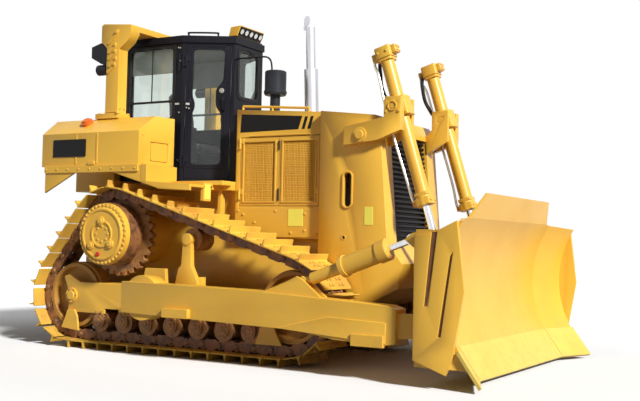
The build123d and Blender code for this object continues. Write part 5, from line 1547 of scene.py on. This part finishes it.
@dataclass
class LiftCylinders:
    """Heads, trunnion blocks, pipes and pin caps of the lift cylinders."""

    pin: Point = (1.55, -0.58, 2.63)
    eye: Point = (2.17, -0.58, 0.62)
    yoke_face: float = 0.76
    above: float = 0.64
    below: float = 1.04
    radius: float = 0.07

    def down(self) -> Vector:
        """Give the direction from the trunnion to the blade."""
        return (Vector(self.eye) - Vector(self.pin)).normalized()

    def ahead(self) -> Vector:
        """Give the direction square to the cylinder, to the machine's front."""
        down = self.down()
        return Vector((-down.z, 0.0, down.x))

    def at(self, along: float, side: float, ahead: float) -> Point:
        """Give a point by its distances down, outwards and ahead of the trunnion's pin."""
        spot = Vector(self.pin) + self.down() * along + Vector(RIGHTWARDS) * side + self.ahead() * ahead
        return spot.x, spot.y, spot.z

    def block(self, shape: Shape, start: float, end: float, half_side: float, half_ahead: float,
              ahead: float = 0.0) -> None:
        """Add a square block along the cylinder.

        Args:
            shape: Shape that it is added to.
            start: Its upper end, down from the pin.
            end: Its lower end.
            half_side: Half its width across the machine.
            half_ahead: Half its depth ahead.
            ahead: How far ahead its middle is.
        """
        wall = Wall(self.at(start, 0.0, 0.0), RIGHTWARDS, tuple(self.ahead()))
        depth = end - start
        if wall.out.dot(self.down()) < 0:
            depth = -depth
        corner = min(half_side, half_ahead) * 0.35
        outline = rounded(-half_side, half_side, ahead - half_ahead, ahead + half_ahead, corner, 2)
        shape.plate(wall, outline, *sorted((0.0, depth)))

    def build(self, shop: Workshop) -> None:
        """Fit both cylinders."""
        for side in Side:
            word = side.word
            body = "lift_barrel_" + word
            shop.shape(body + "_blocks", placed(self.blocks(), side), "yellow_paint", body=body, bevel=0.004)
            top = -self.above
            pipe = Shape().tube([self.at(top + 0.07, 0.0, -0.13), self.at(top + 0.13, 0.0, -0.15),
                                 self.at(-0.4, 0.03, -0.125), self.at(-0.1, 0.05, -0.13), self.at(0.2, 0.05, -0.13),
                                 self.at(0.7, 0.03, -0.12), self.at(self.below - 0.09, 0.0, -0.125),
                                 self.at(self.below - 0.05, 0.0, -0.1)], 0.014, steps=8)
            shop.shape(body + "_pipe", placed(pipe, side), "zinc", body=body)
            sleeve = Shape().tube([self.at(top + 0.06, -0.04, -0.085), self.at(top + 0.14, -0.05, -0.12),
                                   self.at(-0.42, -0.05, -0.135), self.at(-0.28, -0.03, -0.15),
                                   self.at(-0.12, 0.0, -0.12)], 0.02, steps=8)
            shop.shape(body + "_sleeve", placed(sleeve, side), "hose_rubber", body=body)
            shop.bolt(body + "_bolts", facing(self.bolts(), side), 0.011, body=body)
        caps = Shape()
        wall = right_wall(self.yoke_face)
        spot = (self.pin[0], self.pin[2])
        caps.border(wall, circle_of(spot, 0.052, 32), circle_of(spot, 0.038, 32), -0.002, 0.012)
        caps.disc(wall, spot, 0.03, -0.002, 0.004, 24)
        caps.disc(wall, (1.19, 2.35), 0.075, -0.002, 0.014, 32).disc(wall, (1.19, 2.35), 0.045, 0.0, 0.03, 24)
        shop.shape("yoke_pin_caps", caps.flip_copy(), "yellow_paint", bevel=0.003)
        screws = wall.heads([(spot[0] - 0.07, spot[1] - 0.055), (spot[0] + 0.07, spot[1] - 0.055)])
        shop.bolt("yoke_screws", screws, 0.014, both_sides=True)

    def blocks(self) -> Shape:
        """Make the square blocks along one cylinder."""
        top, foot = -self.above, self.below
        shape = Shape()
        for sizes in ((top - 0.014, top + 0.105, 0.09, 0.09), (top + 0.105, top + 0.135, 0.08, 0.08),
                      (top - 0.005, top + 0.08, 0.05, 0.03, 0.112), (top + 0.02, top + 0.1, 0.034, 0.035, -0.115),
                      (-0.1, 0.1, 0.092, 0.112), (foot - 0.08, foot - 0.002, 0.08, 0.086),
                      (foot - 0.07, foot - 0.02, 0.03, 0.03, -0.1), (foot - 0.135, foot - 0.1, 0.078, 0.078)):
            self.block(shape, *sizes)
        return shape

    def bolts(self) -> list[tuple[Point, Point]]:
        """Give places and facings of one cylinder's bolt heads."""
        top = -self.above
        ahead, up = tuple(self.ahead()), tuple(-self.down())
        heads = [(self.at(top + along, side, 0.143), ahead) for along in (0.015, 0.06) for side in (-0.032, 0.032)]
        heads += [(self.at(top - 0.014, side, forth), up) for side in (-0.062, 0.062) for forth in (-0.062, 0.062)]
        heads += [(self.at(along, 0.0925, forth), RIGHTWARDS) for along in (-0.075, 0.075) for forth in (-0.085, 0.085)]
        heads += [(self.at(self.below - 0.04, side, 0.087), ahead) for side in (-0.05, 0.05)]
        return heads + [(self.at(top + 0.045, 0.091, forth), RIGHTWARDS) for forth in (-0.05, 0.05)]


@dataclass
class BladeDetails:
    """Bolts, painted shade in the side slots and the end bits' seams of the blade, and blocks on the push arms."""

    edge_top: Flat = (2.5, 0.345)
    edge_foot: Flat = (2.712, 0.05)
    wing_start: float = 1.27
    side: float = 1.729
    arm_face: float = 1.6

    def edge_wall(self) -> Wall:
        """Give the cutting edge's front face, up from its top line."""
        up = Vector((self.edge_top[0] - self.edge_foot[0], 0.0, self.edge_top[1] - self.edge_foot[1])).normalized()
        return Wall((self.edge_top[0], 0.0, self.edge_top[1]), LEFTWARDS, tuple(up))

    def build(self, shop: Workshop) -> None:
        """Fit the blade and both arms."""
        edge = self.edge_wall()
        spots = line_of((-1.17, -0.09), (1.17, -0.09), 16)
        shop.bolt("edge_bolts", edge.heads(spots, -0.012), 0.014, "worn_steel", body="dozer")
        spots = [(u, v) for v in (-0.07, -0.19) for u in (-1.42, -1.49, -1.56)]
        shop.bolt("end_bit_bolts", edge.heads(spots, -0.002), 0.013, "worn_steel", body="dozer", both_sides=True)
        wall = right_wall(self.arm_face)
        plates = Shape().plate(wall, rectangle(1.59, 1.92, 0.31, 0.42), -0.03, 0.03)
        plates.plate(wall, rounded(-0.59, -0.26, 0.448, 0.545, 0.01, 3), -0.004, 0.05)
        shop.shape("push_arm_blocks", plates.flip_copy(), "yellow_paint", body="dozer", bevel=0.005)
        self.build_side(shop)

    def build_side(self, shop: Workshop) -> None:
        """Paint shade into the side plates' slots and into the end bits' seams."""
        # painted shade: dark sheets on the floors of the side plates' slots
        slots = Shape()
        face = right_wall(self.side)
        for outline in (((2.318, 0.7), (2.378, 0.7), (2.486, 1.36), (2.42, 1.36)),
                        ((2.485, 0.455), (2.522, 0.455), (2.634, 1.19), (2.582, 1.17))):
            slots.plate(face, list(outline), -0.0125, -0.0105)
        shop.shape("blade_slot_floors", slots.flip_copy(), "slot_shade", body="dozer")
        edge = self.edge_wall()
        # painted shade: a dark strip where each end bit meets the cutting edge
        seam = Shape().plate(edge, rectangle(self.wing_start - 0.005, self.wing_start + 0.005, -0.355, -0.002), -0.004,
                             0.001)
        shop.shape("end_bit_seams", seam.flip_copy(), "slot_shade", body="dozer")


@dataclass
class OperatorSeat:
    """The padded seat on its suspension base."""

    x: float = -1.45
    floor: float = 1.945
    base: float = 2.275
    pad_top: float = 2.395
    back: tuple[Flat, ...] = ((-1.688, 2.36), (-1.594, 2.36), (-1.684, 3.026), (-1.756, 3.026))
    swell: float = 0.012
    round_edge: float = 0.03
    voxel: float = 0.012
    quick_voxel: float = 0.02
    pressure: float = 4.0
    frames: int = 12

    def build(self, shop: Workshop) -> None:
        """Make base, cushion and back."""
        base = Shape()
        for low, high, half in ((0.0, 0.05, 0.2), (0.05, 0.25, 0.15), (0.25, 0.33, 0.19)):
            base.box((self.x - half, -half, self.floor + low), (self.x + half, half, self.floor + high))
        base.box((self.x - 0.2, -0.06, self.base - 0.02), (self.x - 0.15, 0.06, self.base + 0.13))
        shop.shape("seat_frame", base, "dark_plastic", bevel=0.01)
        reach = 0.25 - self.swell
        cushion = Shape().box((self.x - reach + 0.035, -reach, self.base + 0.006),
                              (self.x + reach, reach, self.pad_top - self.swell))
        back = Shape().plate(right_wall(0.0), list(self.back), -0.223, 0.223)
        for name, shape, replaces in (("seat_cushion", cushion, ("seat",)), ("seat_back", back, ())):
            thing = shape.to_object(name)
            self.pad(thing)
            shop.settle(thing, "seat_cloth", replaces=replaces, smooth=60.0)
            rounder = thing.modifiers.new("Fine surface", "SUBSURF")
            rounder.levels = rounder.render_levels = 1

    def pad(self, thing: bpy.types.Object) -> None:
        """Blow a closed shape up into a padded one by a short cloth simulation.

        Args:
            thing: Closed mesh object, a little smaller than the pad.
        """
        mesh = bmesh.new()
        mesh.from_mesh(thing.data)
        bmesh.ops.bevel(mesh, geom=mesh.edges[:], offset=self.round_edge, segments=3, affect="EDGES")
        mesh.to_mesh(thing.data)
        mesh.free()
        remesh = thing.modifiers.new("Voxels", "REMESH")
        remesh.mode = "VOXEL"
        remesh.voxel_size = self.voxel
        bake(thing)
        start = [vert.co.copy() for vert in thing.data.vertices]
        cloth = thing.modifiers.new("Cloth", "CLOTH")
        cloth.settings.use_pressure = True
        cloth.settings.uniform_pressure_force = self.pressure
        cloth.settings.effector_weights.gravity = 0.0
        scene = bpy.context.scene
        for frame in range(1, self.frames + 1):
            scene.frame_set(frame)
        graph = bpy.context.evaluated_depsgraph_get()
        blown = [vert.co.copy() for vert in thing.evaluated_get(graph).data.vertices]
        thing.modifiers.clear()
        for vert, before, after in zip(thing.data.vertices, start, blown):
            move = after - before
            if move.length > self.swell:
                move = move.normalized() * self.swell
            vert.co = before + move
        scene.frame_set(1)


@dataclass
class Studio:
    """Floor, lights and camera."""

    place: Point = (5.877, -9.64, 1.234)
    turn: float = 30.05
    pitch: float = -2.5
    roll: float = 1.247
    lens: float = 55.77
    sensor: float = 36.0
    sight: float = 200.0
    sun_strength: float = 5.1
    sun_spread: float = 7.0
    sun_colour: Colour = (1.0, 0.99, 0.97)
    sun_way: Point = (-0.77, 0.34, -0.54)
    sky_strength: float = 0.1
    floor_half: float = 60.0
    floor_lit: Colour = (0.3, 0.3, 0.3)
    floor_seen: Colour = (0.96, 0.97, 0.985)
    white_from: float = 3.2
    white_to: float = 7.0
    glow: float = 0.25

    def build(self) -> None:
        """Set the studio up."""
        self.build_floor()
        self.build_sun()
        self.build_world()
        self.build_camera()

    def build_floor(self) -> None:
        """Lay a pale floor that keeps the machine's shadow and turns plain white farther out."""
        half = self.floor_half
        floor = Shape().plate(level(0.0), rectangle(-half, half, -half, half), -0.05, -0.002).to_object("floor")
        tree = ShaderTree("studio_floor")
        seen = tree.seen()
        distance = tree.add("VectorMath", {"operation": "LENGTH"})
        tree.feed(distance.inputs[0], tree.coords)
        away = tree.span(distance.outputs["Value"], self.white_from, self.white_to)
        tree.shade(Base_Color=tree.blend(seen, self.floor_lit, self.floor_seen), Roughness=0.9, Specular_IOR_Level=0.1,
                   Emission_Color=WHITE, Emission_Strength=tree.math("MULTIPLY", away, seen, self.glow))
        floor.data.materials.append(tree.material)

    def build_sun(self) -> None:
        """Hang a broad soft key light ahead of the machine and to its right."""
        data = bpy.data.lights.new("key", "SUN")
        data.energy = self.sun_strength
        data.angle = math.radians(self.sun_spread)
        data.color = self.sun_colour
        key = linked("key", data)
        key.rotation_mode = "QUATERNION"
        key.rotation_quaternion = Vector(self.sun_way).to_track_quat("-Z", "Y")

    def build_world(self) -> None:
        """Make a dim even sky that shows white to the eye, in metal and through glass."""
        world = bpy.data.worlds.new("studio")
        world.use_nodes = True
        tree = NodeTree(world.node_tree)
        strength = tree.add("MapRange", Value=tree.seen(), To_Min=self.sky_strength, To_Max=1.0)
        tree.plug(tree.nodes["Background"], Color=WHITE, Strength=strength.outputs["Result"])
        bpy.context.scene.world = world

    def build_camera(self) -> None:
        """Stand the camera where the photograph was taken from."""
        turn, pitch, roll = (math.radians(v) for v in (self.turn, self.pitch, self.roll))
        ahead = Vector((-math.sin(turn) * math.cos(pitch), math.cos(turn) * math.cos(pitch), -math.sin(pitch)))
        right = Vector((math.cos(turn), math.sin(turn), 0.0))
        up = right.cross(ahead)
        right_rolled = right * math.cos(roll) + up * math.sin(roll)
        up_rolled = up * math.cos(roll) - right * math.sin(roll)
        data = bpy.data.cameras.new("camera")
        data.lens = self.lens
        data.sensor_width = self.sensor
        data.clip_end = self.sight
        camera = linked("camera", data)
        axes = Matrix((right_rolled, up_rolled, -ahead)).transposed().to_4x4()
        camera.matrix_world = Matrix.Translation(Vector(self.place)) @ axes
        bpy.context.scene.camera = camera


def main() -> None:
    """Load the frame, dress it and set up the studio."""
    logging.basicConfig(level=logging.INFO, format="%(message)s")
    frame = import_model()
    bpy.context.scene.view_settings.view_transform = "Standard"
    finishes = Finishes()
    Studio().build()
    shop = Workshop(frame, finishes, HardwareTree(), CopyTree())
    for assembly in (Plating(), TrackLoops(), RunningGear(), EngineDoors(), HoodDetails(), CabDetails(),
                     TankDetails(), RollBarDetails(), LiftCylinders(), BladeDetails(), OperatorSeat()):
        log.info("assembly %s", type(assembly).__name__)
        assembly.build(shop)


if __name__ == "__main__":
    main()
